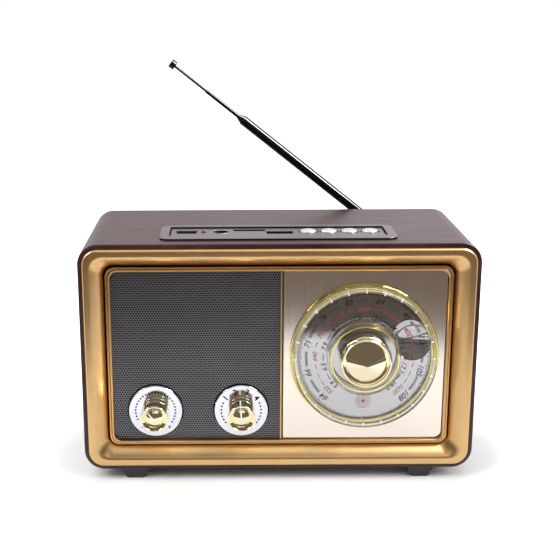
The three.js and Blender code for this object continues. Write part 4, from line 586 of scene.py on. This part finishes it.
def plate_piece():
    """The dial plate: square at the bar, rounded at the bezel, with a fine bevel."""
    plate = box("dial_plate")
    corner = OPENING_RADIUS - 0.3

    def ring(inset, y):
        left = [(plate.x0 + inset, plate.z1 - inset), (plate.x0 + inset, plate.z0 + inset)]
        right = rounded_rect(plate.x0, plate.x1 - inset, plate.z0 + inset, plate.z1 - inset, corner - inset)
        return facing(y, right[: 2 * (CORNER_STEPS + 1)] + left)

    rings = [ring(0, plate.y1), *[ring(inset, plate.y0 + y) for inset, y in bow(0, 0.4, 0.4, 0, 4)]]
    piece("plate_skin", skin(rings, capped=True), "brushed_aluminium", ["dial_plate"])


grille_piece()
plate_piece()

# ------ dial

scale = box("scale_disc")
window = box("dial_window")
dial = (scale.x, scale.z)
WINDOW_THICKNESS = 2.0
NOTCHES = 24
LENS_ANGLE = 69
LENS_DISTANCE = 32
LENS_RADIUS = 11.4
RIBBED_RING = (43.9, 45.2)
HAIRLINE_ANGLE = 73


def around(radius, degrees, y, centre=dial):
    """A place on a dial: radius from its axis, degrees clockwise from the top."""
    a = math.radians(degrees)
    return (centre[0] + radius * math.sin(a), y, centre[1] + radius * math.cos(a))


def directions(degrees):
    """The way out from a dial's axis at an angle clockwise from the top, and the way across it."""
    a = math.radians(degrees)
    return Vector((math.sin(a), 0, math.cos(a))), Vector((math.cos(a), 0, -math.sin(a)))


lens_centre = around(LENS_DISTANCE, LENS_ANGLE, 0)[::2]


def window_piece():
    """The clear window: flat front, tapering skirt, a hub round the knob and a seat for the lens."""
    base, front = window.x1 - window.x - 1.0, window.x1 - window.x - 2.1
    y0, y1 = window.y0, window.y1
    back = y0 + WINDOW_THICKNESS
    hub, bore = 23.9, 16.7
    skirt = [(bore, y0), (front, y0), (base, y1), (base - 1.2, y1), (front - 1.3, back)]
    inside = [(hub, back), (hub, y1 - 0.4), (hub - 1.1, y1 - 0.4), (hub - 1.1, back), (bore, back)]
    softness = [0.2, 0.9, 0.3, 0.2, 0.4, 0.3, 0.2, 0.2, 0.2, 0.2]
    profile = fillet(skirt + inside, softness, 4, closed=True)
    seat_radius = LENS_RADIUS + 0.3
    seat = turned([(0, y0 - 1), (seat_radius, y0 - 1), (seat_radius, back + 1), (0, back + 1)], lens_centre)
    piece("clear_window", turned(profile, dial, segments=192, closed=True), "clear_acrylic", ["dial_window"],
          "tuning", cutters=[seat])


def lens_piece():
    """The magnifier: a shallow dome over a flat back."""
    y0 = box("magnifier_lens").y0
    back = window.y0 + WINDOW_THICKNESS
    radius, rise = LENS_RADIUS, window.y0 + 0.1 - y0
    sphere = (radius**2 + rise**2) / (2 * rise)
    profile = [(0, back), (radius - 0.2, back), (radius, back - 0.2)]
    for i in range(13):
        r = radius * math.sin(math.pi / 2 * (12 - i) / 12)
        profile.append((r, y0 + sphere - math.sqrt(sphere**2 - r**2)))
    piece("magnifier", turned(profile, lens_centre), "clear_acrylic", ["magnifier_lens"], "tuning", sharp=25)


def ring_piece(name, inner, outer, y0, y1, body, replaced):
    """A plain gold ring round the dial's axis."""
    profile = fillet([(inner, y0), (outer, y0), (outer, y1), (inner, y1)], 0.2, 3, closed=True)
    piece(name, turned(profile, dial, segments=192, closed=True), "polished_gold", [replaced], body,
          RING_GOLD)


def hatched_ring():
    """The finely ribbed gold ring under the window's front, and the plain ring behind it."""
    inner, outer = RIBBED_RING
    y = window.y0 + WINDOW_THICKNESS + 0.2
    ribs = 360
    rings = []
    for r, low in ((inner, 0.0), (outer, 0.0), (outer, 0.5), (inner, 0.5)):
        ring = []
        for i in range(2 * ribs):
            a = math.pi * i / ribs
            lift = 0.12 if i % 2 and low == 0.0 else 0.0
            ring.append((dial[0] + r * math.sin(a), y + low + lift, dial[1] + r * math.cos(a)))
        rings.append(ring)
    piece("ribbed_ring", skin(rings, closed=True), "polished_gold", body="tuning", material=RIBBED, sharp=60)
    backing = [(inner, y + 0.55), (outer, y + 0.55), (outer, y + 0.7), (inner, y + 0.7)]
    piece("ring_backing", turned(backing, dial, segments=192, closed=True), "polished_gold", body="tuning",
          material=RING_GOLD)


def finger_marks():
    """White marks at the grip notches round the window's rim: painted highlights for the notches' glints."""
    middle = Vector((dial[0], window.y0, dial[1]))
    half, front, back = 0.42, 2.05, 3.4
    parts = []
    for k in range(NOTCHES):
        out, across = directions(360 * k / NOTCHES)
        rings = []
        for reach in (43.6, 45.15):
            ring = []
            for side, y in ((-half, front), (half, front), (half, back), (-half, back)):
                point = middle + out * reach + across * side
                ring.append((point.x, point.y + y, point.z))
            rings.append(ring)
        parts.append(skin(rings, capped=True))
    piece("painted_notch_glints", joined(*parts), "clear_acrylic", body="tuning", material=NOTCH_GLINT)


def tuning_knob_piece():
    """The tuning knob: polished skirt, knurled band, bright rim, groove and cone."""
    knob = box("tuning_knob")
    radius = knob.x1 - knob.x
    base, apex = knob.y1, knob.y0
    front = base - 15.3
    skirt = fillet([(radius, base), (radius, front + 4.0), (radius - 0.5, front + 3.6)], 0.2, 3)
    band = [(radius - 0.35, front + 3.5), (radius - 0.35, front + 1.0)]
    rim = bow(radius - 0.35, front + 0.9, radius - 1.3, front, 5, False)
    rim += bow(radius - 1.5, front, radius - 1.9, front + 0.9, 4, True)
    dish = [(14.3, front + 2.4), (13.1, front + 2.6), (12.9, front + 1.2), (0.25, apex + 0.12), (0, apex)]
    profile = [(0, base), *skirt, *band, *rim, *dish]
    teeth = 120

    def knurled(r, along, angle):
        if front + 0.95 <= along <= front + 3.55 and r > radius - 0.4:
            return r + 0.3 * (0.5 + 0.5 * math.cos(angle * teeth))
        return r

    piece("tuning_knob_shell", turned(profile, dial, segments=teeth * 4, radius_at=knurled), "polished_gold",
          ["tuning_knob"], "tuning", sharp=28)


def scale_piece():
    """The silver disc that carries the print."""
    bore, rim = 4, 44.8
    outline = [(bore, scale.y0), (rim, scale.y0), (rim, scale.y1), (bore, scale.y1)]
    piece("scale_face", turned(fillet(outline, 0.15, 2, True), dial, segments=192, closed=True),
          "scale_silver", ["scale_disc"])


window_piece()
lens_piece()
ring_piece("outer_ring", 47.3, 48.2, scale.y0 - 0.9, scale.y1, "radio", "dial_outer_ring")
ring_piece("inner_ring", 21.1, 22.3, window.y0 + 2.25, window.y0 + 3.2, "tuning", "dial_inner_ring")
hatched_ring()
finger_marks()
tuning_knob_piece()
scale_piece()

# ------ print on the dial

INK = 0.03
ITALIC = 0.3


def stroke(r0, r1, degrees, width, y):
    """A radial line of ink."""
    half = math.degrees(width / 2 / ((r0 + r1) / 2))
    corners = [around(r0, degrees - half, y), around(r0, degrees + half, y),
               around(r1, degrees + half, y), around(r1, degrees - half, y)]
    return corners, [(0, 1, 2, 3)]


def dash(radius, degrees, length, width, y):
    """A short line of ink that follows the circle."""
    half = math.degrees(length / 2 / radius)
    corners = [around(radius + side * width / 2, degrees + side * half * (1 - i / 2), y)
               for side in (-1, 1) for i in range(5)]
    return corners, [tuple(range(10))]


def polygon(centre, radius, corners):
    """A regular outline that faces the front."""
    turns = [2 * math.pi * i / corners for i in range(corners)]
    return [(centre[0] + radius * math.cos(a), centre[1], centre[2] + radius * math.sin(a)) for a in turns]


def dot(centre, radius, corners):
    """A round dot of ink."""
    return polygon(centre, radius, corners), [tuple(range(corners))]


def hoop(centre, radius, hole, corners):
    """A round dot of ink with a hole in it."""
    return skin([polygon(centre, radius, corners), polygon(centre, hole, corners)])


def number(text, place, degrees, size, shear=0.0, bold=0.0):
    """Vertices and faces of a number that stands at a place on a circle, its head outwards."""
    curve = bpy.data.curves.new("number", "FONT")
    curve.body = text
    curve.size = size
    curve.shear = shear
    curve.offset = bold
    curve.align_x, curve.align_y = "CENTER", "CENTER"
    curve.resolution_u = 4
    holder = bpy.data.objects.new("number", curve)
    mesh = bpy.data.meshes.new_from_object(holder)
    out, along = directions(degrees)
    turn = Matrix((along, out, Vector((0, -1, 0)))).transposed().to_4x4()
    stand = Matrix.Translation(place) @ turn
    made = ([tuple(stand @ v.co) for v in mesh.vertices], [tuple(p.vertices) for p in mesh.polygons])
    bpy.data.objects.remove(holder)
    bpy.data.meshes.remove(mesh)
    return made


def circle(radius, width, y, parts=50):
    """A line of ink all round the dial."""
    return [dash(radius, k * 360 / parts, 2 * math.pi * radius / parts, width, y) for k in range(parts)]


def printed(name, parts, ink, body="radio"):
    """Ink on a surface, riding on its body."""
    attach(drawn(name, joined(*parts), ink), body)


def dial_print():
    """Three rings of numbers with dashes between them, a comb of ticks, the rim's grey line, and a gold line that
    paints the gold ring's reflection.
    """
    y = scale.y0 - INK
    first, step = -137.4, 30.2
    outer_radius, red_radius, inner_radius = 37.4, 31.7, 26.3
    outer = ["64", "66", "71", "76", "85", "89", "95", "100", "105", "108"]
    inner = ["5.9", "6.5", "7.9", "9.5", "11.0", "12.5", "14.0", "15.5", "17.1", "18.0"]
    red = {-135.5: "522", -90: "640", -61.5: "765", -31.4: "910", -2.4: "1070", 28.6: "1215", 60: "1400",
           134: "1620"}
    black, reds, greys = [], [], []

    def standing(text, radius, degrees, size, bold):
        return number(text, around(radius, degrees, y), degrees, size, shear=ITALIC, bold=bold)

    for i, text in enumerate(outer):
        black.append(standing(text, outer_radius, first + step * i, 5.4, 0.08))
    for i, text in enumerate(inner):
        black.append(standing(text, inner_radius, first + 1.5 + step * i, 4.6, 0.09))
    for i in range(len(outer) - 1):
        middle = first + step * (i + 0.5)
        black.append(dash(inner_radius + 0.1, middle + 1.5, 4.4, 0.55, y))
        for k in range(-9, 10):
            greys.append(stroke(36.5, 38.3, middle + k * 0.82, 0.36, y))
    for degrees, text in red.items():
        reds.append(standing(text, red_radius, degrees, 4.2, 0.04))
    for degrees in (-124, -113, -102, -75, -46, -17, 13.5, 43, 75, 88, 100.5, 111, 121.5):
        reds.append(dash(red_radius + 0.2, degrees, 3.2, 0.5, y))
    ticks = 200
    for k in range(ticks):
        black.append(stroke(40.9 if k % 5 else 40.2, 42.8, k * 360 / ticks, 0.55, y))
    printed("scale_black_print", black, INK_BLACK)
    printed("scale_red_print", reds, INK_RED)
    printed("scale_ticks", greys + circle(42.9, 0.3, y), INK_GREY)
    # A gold circle at the rim: painted reflection of the gold ring round the dial.
    printed("scale_rim_reflection", circle(43.8, 1.1, y), RING_REFLECTION_GOLD)


def motif():
    """A plain red ornament at the foot of the scale: a ringed eight-petal flower."""
    centre = around(30.2, 180, scale.y0 - INK)
    petals = [hoop(petal, 1.0, 0.7, 24) for petal in polygon(centre, 2.9, 8)]
    printed("scale_motif", [hoop(centre, 4.9, 4.55, 48), dot(centre, 1.1, 24), *petals], INK_RED)


def hairline():
    """The dark pointer line under the magnifier."""
    y = window.y0 + WINDOW_THICKNESS + 0.35
    printed("pointer_line", [stroke(22.6, 43.5, HAIRLINE_ANGLE, 0.45, y)], INK_BLACK, "tuning")


dial_print()
motif()
hairline()

# ------ small knobs and their discs


def small_disc(name):
    """A white disc behind a small knob, with a rounded rim."""
    disc = box(name)
    radius = disc.x1 - disc.x
    rim = bow(radius, disc.y0 + 0.6, radius - 0.6, disc.y0, 5, True)
    profile = [(4, disc.y1), (radius, disc.y1), *rim, (4, disc.y0)]
    piece(f"{name}_face", turned(profile, (disc.x, disc.z), segments=128, closed=True), "white_gloss", [name])
    return disc


def disc_place(disc, radius, degrees):
    """A place for ink on a small disc."""
    return around(radius, degrees, disc.y0 - INK, (disc.x, disc.z))


def disc_dots(disc, angles, radius=13.0, size=0.62):
    """Round dots of ink at several angles."""
    return [dot(disc_place(disc, radius, degrees), size, 16) for degrees in angles]


def disc_print():
    """Dots round the volume knob, and dots and plain numbers round the band knob."""
    marks = disc_dots(volume_disc, [-115 + 9.6 * k for k in range(26)])
    minus, stem = (1.1, 0.22), (0.22, 1.1)
    for degrees, bars in ((-143, [minus]), (141, [minus, stem])):
        x, y, z = disc_place(volume_disc, 14.2, degrees)
        marks += [(upright(x - u, x + u, y, z - v, z + v), [(0, 1, 2, 3)]) for u, v in bars]
    printed("volume_print", marks, INK_BLACK)
    marks = disc_dots(band_disc, [sign * (66 + 10.4 * k) for k in range(7) for sign in (-1, 1)])
    marks += disc_dots(band_disc, [-33, 0, 33], 13.2, 0.35)
    for text, degrees in (("1", -49), ("2", -17), ("3", 17), ("4", 49)):
        marks.append(number(text, disc_place(band_disc, 13.2, degrees), degrees, 5.4, bold=0.14))
    printed("band_print", marks, INK_BLACK)


def small_knob(name, body, angle):
    """A small knob: skirt, groove, polished body, bright rim, dish and cone, with a white line along its pointer
    groove that paints the groove's highlight.
    """
    knob = box(name)
    radius = knob.x1 - knob.x
    base = knob.y1
    rim = base - 15.7
    points = [(0, base), (radius, base), (radius, base - 5.4), (radius - 0.5, base - 5.7),
              (radius - 0.12, base - 6.0), (radius - 0.1, rim), (radius - 1.15, rim), (5.9, rim + 2.6),
              (0, rim - 1.4)]
    profile = fillet(points, [0, 0.3, 0.25, 0.1, 0.2, 0.75, 0.4, 0.15, 0], 5)
    piece(f"{name}_shell", turned(profile, (knob.x, knob.z), segments=128), "polished_gold", [name], body,
          sharp=28)
    out, across = directions(angle)
    half, raised = 0.42, 0.05
    parts = []
    for (r0, y0), (r1, y1) in (
        ((0.6, rim - 1.03), (5.6, rim + 2.36)),
        ((radius - 1.3, rim + 0.1), (radius - 0.9, rim + 0.0)),
        ((radius - 0.9, rim), (radius - 0.35, rim + 0.08)),
        ((radius - 0.35, rim + 0.08), (radius - 0.09, rim + 0.8)),
        ((radius - 0.09, rim + 0.8), (radius - 0.11, base - 6.0)),
    ):
        fall = Vector((r1 - r0, y1 - y0)).normalized()
        lift = Vector((out.x * -fall.y, fall.x, out.z * -fall.y)) * -raised
        corners = []
        for r, y, side in ((r0, y0, -half), (r0, y0, half), (r1, y1, half), (r1, y1, -half)):
            corners.append(Vector((knob.x, y, knob.z)) + out * r + across * side + lift)
        parts.append((corners, [(0, 1, 2, 3)]))
    # The white strips paint the pointer groove's highlight.
    printed(f"{name}_pointer", parts, POINTER_GLINT, body)


volume_disc = small_disc("volume_disc")
band_disc = small_disc("band_disc")
disc_print()
small_knob("volume_knob", "volume", -50)
small_knob("band_knob", "band", -4)

# ------ top panel

BUTTONS = [f"top_button_{i + 1}" for i in range(4)]


def top_panel_piece():
    """The panel on the wood: softened flange, sunk floor and the openings in it."""
    panel = box("top_panel")
    top = panel.z1
    tray = SimpleNamespace(x=70.4, y0=front_y + 21.4, y1=front_y + 50.0)
    floor = top - 1.0

    def outline(inset, z):
        return level(z, rounded_rect(panel.x0 + inset, panel.x1 - inset, panel.y0 + inset, panel.y1 - inset,
                                     7 - inset))

    def inner(inset, z):
        return level(z, rounded_rect(inset - tray.x, tray.x - inset, tray.y0 + inset, tray.y1 - inset, 1.2))

    def plate(z):
        return level(z, rounded_rect(0.9 - tray.x, tray.x - 1.0, tray.y0 + 0.3, tray.y1 - 0.35, 0.8))

    seat = cabinet.z1 + 0.85
    # A dead black band under the flange's edge: painted shadow line between the flange and the wood.
    gasket = [outline(0.15, cabinet.z1), outline(0.15, seat), outline(6, seat), outline(6, cabinet.z1)]
    shade_lining("panel_gasket_shade", skin(gasket, closed=True))
    rings = [
        inner(0, cabinet.z1 - 3),
        outline(4, cabinet.z1 - 3),
        outline(4, seat),
        outline(0, seat),
        *[outline(inset, z) for inset, z in bow(0, top - 0.3, 0.3, top, 4, True)],
        *[inner(inset, z) for inset, z in bow(-0.25, top, 0, top - 0.25, 3, False)],
        inner(0, floor),
    ]
    # A dead black sheet under the sunk floor: painted shade inside its openings.
    shade_lining("panel_well_shade", skin([inner(0.05, floor - 2.9), inner(0.05, floor - 2.5)], capped=True))
    piece("panel_flange", skin(rings, closed=True), "taupe_metallic", ["top_panel"])

    def socket_cut(name, grow, deep):
        b = box(name)
        return block(b.x0 - grow, b.x1 + grow, b.y0 - deep, b.y1 + deep, floor - 5, floor + 5)

    def round_cut(name, grow):
        b = box(name)
        r = (b.x1 - b.x0) / 2 + grow
        return turned([(0, floor - 5), (r, floor - 5), (r, floor + 5), (0, floor + 5)], (b.x, b.y), "Z", 64)

    cutters = [socket_cut("small_port", 0, 1.5), socket_cut("wide_port", 0, 0.2)]
    cutters += [socket_cut("card_socket", 0.2, 0.9), round_cut("headphone_jack", 0.1)]
    cutters += [round_cut("power_led", 0.4), *[round_cut(name, 0.75) for name in BUTTONS]]
    piece("panel_floor", skin([plate(floor - 0.25), plate(floor)], capped=True), "taupe_metallic",
          cutters=cutters)


def sockets():
    """The ports: an open steel shell, lined with dead black that is partly the port's dark inside and partly
    painted shade, and a tongue in the two wide enough for one.
    """
    for name in ("small_port", "wide_port", "card_socket"):
        b = box(name)
        thick = 0.22 if name != "card_socket" else 0.1
        top, deep = b.z1 - 0.5, max(b.z0 + 0.5, b.z1 - 4)
        soft = min(0.6, (b.y1 - b.y0) / 4)

        def ring(inset, z):
            return level(z, rounded_rect(b.x0 + inset, b.x1 - inset, b.y0 + inset, b.y1 - inset,
                                         max(soft - inset, 0.15), 5))

        shell = [ring(0, b.z0), ring(0, top), ring(thick, top), ring(thick, deep)]
        piece(f"{name}_shell", skin(shell, capped=True), "steel", [name])
        # The dead black lining is painted shade over the port's dark inside.
        shade_lining(f"{name}_lining", skin([ring(thick + 0.02, deep + 0.1), ring(thick + 0.02, top - 0.02)]))
        if name != "card_socket":
            x, y = (b.x1 - b.x0) * 0.34, (b.y1 - b.y0) * 0.12
            tongue = block(b.x - x, b.x + x, b.y - y, b.y + y, deep, top - 1.5)
            piece(f"{name}_tongue", tongue, "black_plastic")


def dome(radius, z, rise, steps, first=0):
    """A profile from a rim at height z up over a dome."""
    turns = [math.pi / 2 * t / steps for t in range(first, steps + 1)]
    return [(radius * math.cos(a), z + rise * math.sin(a)) for a in turns]


def buttons():
    """The domed caps of the four buttons."""
    for index, name in enumerate(BUTTONS, 1):
        b = box(name)
        r = (b.x1 - b.x0) / 2 - 0.15
        rim = b.z1 - 1.6
        profile = [(0, b.z0), (r, b.z0), (r, rim), *dome(r, rim, 1.6, 12, 1)]
        piece(f"{name}_cap", turned(profile, (b.x, b.y), "Z", 64), "silver_plated", [name], f"button_{index}",
              sharp=40)


def headphone_jack():
    """The jack: a thin bright ring round a dead black bore, partly its black plastic and partly painted shade,
    with a contact ring inside.
    """
    jack = box("headphone_jack")
    top, place = jack.z1, (jack.x, jack.y)
    r = (jack.x1 - jack.x0) / 2
    mouth = [(r, jack.z0), (r, top), (r - 0.25, top), (r - 0.3, top - 1.2), (r - 0.3, jack.z0)]
    piece("jack_mouth", turned(fillet(mouth, [0, 0.2, 0.15, 0.1, 0], 3), place, "Z", 64, closed=True),
          "silver_plated", ["headphone_jack"])
    bore = [(0, top - 3), (2.1, top - 3), (2.1, top - 1.9), (r - 1.0, top - 1.6), (r - 0.32, top - 0.25)]
    # The bore's dead black is partly the socket's black plastic, partly painted shade.
    shade_lining("jack_bore_shade", turned(bore, place, "Z", 64))
    contact = [(2.1, top - 1.85), (2.3, top - 1.7), (2.5, top - 1.78), (2.3, top - 1.95)]
    piece("jack_contact", turned(contact, place, "Z", 32, closed=True), "silver_plated")


def lamp_dome():
    """The red lamp beside the small port."""
    led = box("power_led")
    r = (led.x1 - led.x0) / 2
    profile = [(0, led.z0), (r, led.z0), *dome(r, led.z1 - 1, 1, 8)]
    piece("lamp_dome", turned(profile, (led.x, led.y), "Z", 32), "red_lens", ["power_led"])


top_panel_piece()
buttons()
sockets()
headphone_jack()
lamp_dome()

# ------ feet


def foot_piece(name):
    """A square foot that tapers to a softened sole."""
    foot = box(name)
    top, sole = (foot.x1 - foot.x0) / 2, 6.25

    def ring(half, z):
        return level(z, rounded_rect(foot.x - half, foot.x + half, foot.y - half, foot.y + half, 2.4, 6))

    section = [(top, foot.z1), *bow(sole + 0.4, foot.z0 + 0.7, sole - 0.4, foot.z0, 4, True)]
    piece(f"{name}_pad", skin([ring(half, z) for half, z in section], capped=True), "rubber", [name])


for end in ("front", "rear"):
    for side in ("left", "right"):
        foot_piece(f"foot_{end}_{side}")

# ------ antenna

TUBE_WALL = 0.3


def antenna_pieces():
    """The telescope's tubes, turned upright and then laid along the line that they slide on."""
    slide = next(j for j in frame["joints"] if j["name"] == "section_2_slide")
    line = Vector(slide["axis"]).normalized()
    pin = box("antenna_hinge_pin")
    pivot = Vector((pin.x, pin.y, pin.z))
    turn = Vector((0, 0, 1)).rotation_difference(line).to_matrix().to_4x4()
    place = Matrix.Translation(pivot) @ turn

    def laid(geometry):
        return [tuple(place @ Vector(v)) for v in geometry[0]], geometry[1]

    tubes = [
        (1, 3.5, 13, 145.7, "mast"),
        (2, 2.95, 22.3, 147.0, "section_2"),
        (3, 2.4, 23.6, 148.3, "section_3"),
        (4, 1.85, 24.9, 149.6, "section_4"),
        (5, 1.4, 54.0, 178.7, "section_5"),
    ]
    for index, radius, low, high, body in tubes:
        inner = radius - TUBE_WALL
        profile = fillet([(inner, low), (radius, low), (radius, high), (inner, high)], 0.22, 3, True)
        piece(f"tube_{index}", laid(turned(profile, (0, 0), "Z", 48, closed=True)), "chrome",
              [f"antenna_section_{index}"], body, sharp=40)
    rod, cap, foot, tip = 1.05, 3.2, 92.3, 210.3
    neck = tip - 4.2
    profile = [(0, foot), (rod, foot), (rod, neck)]
    profile += fillet([(rod, neck), (cap, neck), (cap, tip), (0, tip)], [0, 0.5, 0.7, 0], 4)[1:]
    piece("tip_rod", laid(turned(profile, (0, 0), "Z", 48)), "chrome", ["antenna_section_6"], "section_6",
          sharp=40)


antenna_pieces()

# ------ studio

ROOM_DEPTH = 2500
ABOVE_FLOOR = 0.5


def emitter(name, color, strength, lit=0.0, clear=0.0, full=0.0):
    """A matt surface that glows for the camera, and without `clear` for reflections and refractions too.

    With `clear` it starts to glow that many mm off the middle, and glows fully at `full`.
    """
    made = Finish(name, (lit, lit, lit), 1.0, Specular_IOR_Level=0.0)
    light = made.node("ShaderNodeLightPath")
    total = light.outputs["Is Camera Ray"]
    if lit:
        made.tint(total, (lit,) * 3, WHITE, 0, 1)
    if not clear:
        for other in ("Is Glossy Ray", "Is Transmission Ray"):
            most = made.node("ShaderNodeMath", operation="MAXIMUM")
            made.link(total, most.inputs[0]).link(light.outputs[other], most.inputs[1])
            total = most.outputs[0]
    scaled = made.node("ShaderNodeMath", operation="MULTIPLY")
    scaled.inputs[1].default_value = strength
    made.link(total, scaled.inputs[0])
    if clear:
        place = made.node("ShaderNodeTexCoord")
        oval = made.node("ShaderNodeMapping", Scale=(1, 1.35, 1))
        far = made.node("ShaderNodeVectorMath", operation="LENGTH")
        away = made.spread(far.outputs["Value"], 0.0, strength, clear * MM, full * MM)
        made.link(place.outputs["Object"], oval.inputs["Vector"]).link(oval.outputs["Vector"], far.inputs[0])
        made.link(away, scaled.inputs[1])
    made.shader.inputs["Emission Color"].default_value = (*color, 1)
    made.link(scaled.outputs[0], made.shader.inputs["Emission Strength"])
    return made.material


def sheet_of(name, corners, material):
    """A flat four-sided sheet of the studio."""
    obj = drawn(name, (corners, [(0, 1, 2, 3)]), material)
    return obj


def card(name, corners, material):
    """A sheet that only reflections and refractions see."""
    obj = sheet_of(name, corners, material)
    obj.visible_camera = obj.visible_diffuse = obj.visible_shadow = False


def lamp(name, place, size, power, boxed=False):
    """An area lamp aimed at the object: a soft one that only lights it, or one that only reflections see."""
    data = bpy.data.lights.new(name, "AREA")
    data.size = size * MM
    data.energy = power
    obj = added(name, data)
    obj.location = Vector(place) * MM
    obj.visible_glossy = obj.visible_transmission = boxed
    obj.visible_diffuse = not boxed
    aim = Vector((0, front_y, 90)) - Vector(place)
    obj.rotation_euler = aim.to_track_quat("-Z", "Y").to_euler()


def studio_world():
    """White to the camera, to reflections and through glass, and a dimmer even light on the object."""
    world = bpy.data.worlds.new("studio")
    bpy.context.scene.world = world
    world.use_nodes = True
    tree = world.node_tree
    light = tree.nodes.new("ShaderNodeLightPath")
    color = tree.nodes.new("ShaderNodeRGB").outputs[0]
    color.default_value = (WORLD_LIGHT, WORLD_LIGHT, WORLD_LIGHT, 1)
    for source in ("Is Glossy Ray", "Is Transmission Ray", "Is Camera Ray"):
        mix = tree.nodes.new("ShaderNodeMixRGB")
        tree.links.new(light.outputs[source], mix.inputs[0])
        tree.links.new(color, mix.inputs[1])
        mix.inputs[2].default_value = (*WHITE, 1)
        color = mix.outputs[0]
    tree.links.new(color, tree.nodes["Background"].inputs["Color"])


def front_cards():
    """The dim end of the room in front, over a floor whose near edge curves away from the object."""
    dim = emitter("room_front", ROOM_FRONT, 1.0)
    strips, width, middle = 18, 40, 20
    for i in range(strips):
        x0 = middle + (i - strips / 2) * width
        x1 = x0 + width
        if i == 0:
            x0 = -ROOM_DEPTH
        if i == strips - 1:
            x1 = ROOM_DEPTH
        near = [(x, front_y - 335 + min(0.0019 * (x - middle) ** 2, 200)) for x in (x0, x1)]
        corners = [*near, (x1, -ROOM_DEPTH), (x0, -ROOM_DEPTH)]
        card(f"front_floor_{i + 1}", level(ABOVE_FLOOR, corners), dim)
    wide = 4 * ROOM_DEPTH
    card("front_wall", upright(-wide, wide, -ROOM_DEPTH, ABOVE_FLOOR, wide), dim)


def studio():
    """A pale floor, cards for the metal and the glass to show, and soft lamps."""
    far = 6000
    sheet_of("floor", flat(-far, far, -far, far, 0),
             emitter("floor_white", WHITE, 1.0, lit=FLOOR_COLOR, clear=150, full=235))
    front_cards()
    cool, warm = (1.0, 0.93, 0.95), (1.0, 0.95, 0.87)
    backdrops = (("left", -420, -60, 0.85), ("middle", -60, 220, 1.0), ("right", 220, 1700, 1.2))
    for end, x0, x1, share in backdrops:
        name = f"backdrop_{end}"
        card(name, upright(x0, x1, 1100, ABOVE_FLOOR, 640), emitter(name, cool, BACKDROP * share))
    card("overhead", flat(-420, 760, -780, 120, 1150), emitter("overhead_white", WHITE, 1.0))
    for end, x0, x1, strength in (("left", -420, 0, 0.8), ("right", 0, 520, 1.2)):
        name = f"window_{end}"
        card(name, upright(x0, x1, -1100, 560, 900), emitter(name, warm, strength))
    studio_world()
    lamp("box_right", (685, -220, 940), 420, 24, True)
    lamp("box_left", (-800, -150, 760), 300, 4, True)
    lamp("key", (-700, -600, 900), 700, 9)
    lamp("fill", (800, -500, 700), 700, 6)
    lamp("back", (0, 700, 900), 900, 6)


def camera():
    """The camera at the photograph's place, looking down by CAMERA_DROP and rolled a little."""
    data = bpy.data.cameras.new("camera")
    data.lens = CAMERA_LENS
    data.sensor_width = 36
    data.shift_x, data.shift_y = CAMERA_SHIFT
    data.clip_start, data.clip_end = 0.01, 50
    obj = added("camera", data)
    forward = Vector((0, math.cos(CAMERA_DROP), -math.sin(CAMERA_DROP)))
    right = Vector((1, 0, 0))
    up = right.cross(forward)
    rolled_right = right * math.cos(CAMERA_ROLL) + up * math.sin(CAMERA_ROLL)
    rolled_up = up * math.cos(CAMERA_ROLL) - right * math.sin(CAMERA_ROLL)
    turn = Matrix((rolled_right, rolled_up, -forward)).transposed().to_4x4()
    obj.matrix_world = Matrix.Translation(Vector(CAMERA_PLACE) * MM) @ turn
    bpy.context.scene.camera = obj


studio()
camera()
bpy.context.scene.view_settings.view_transform = "Standard"
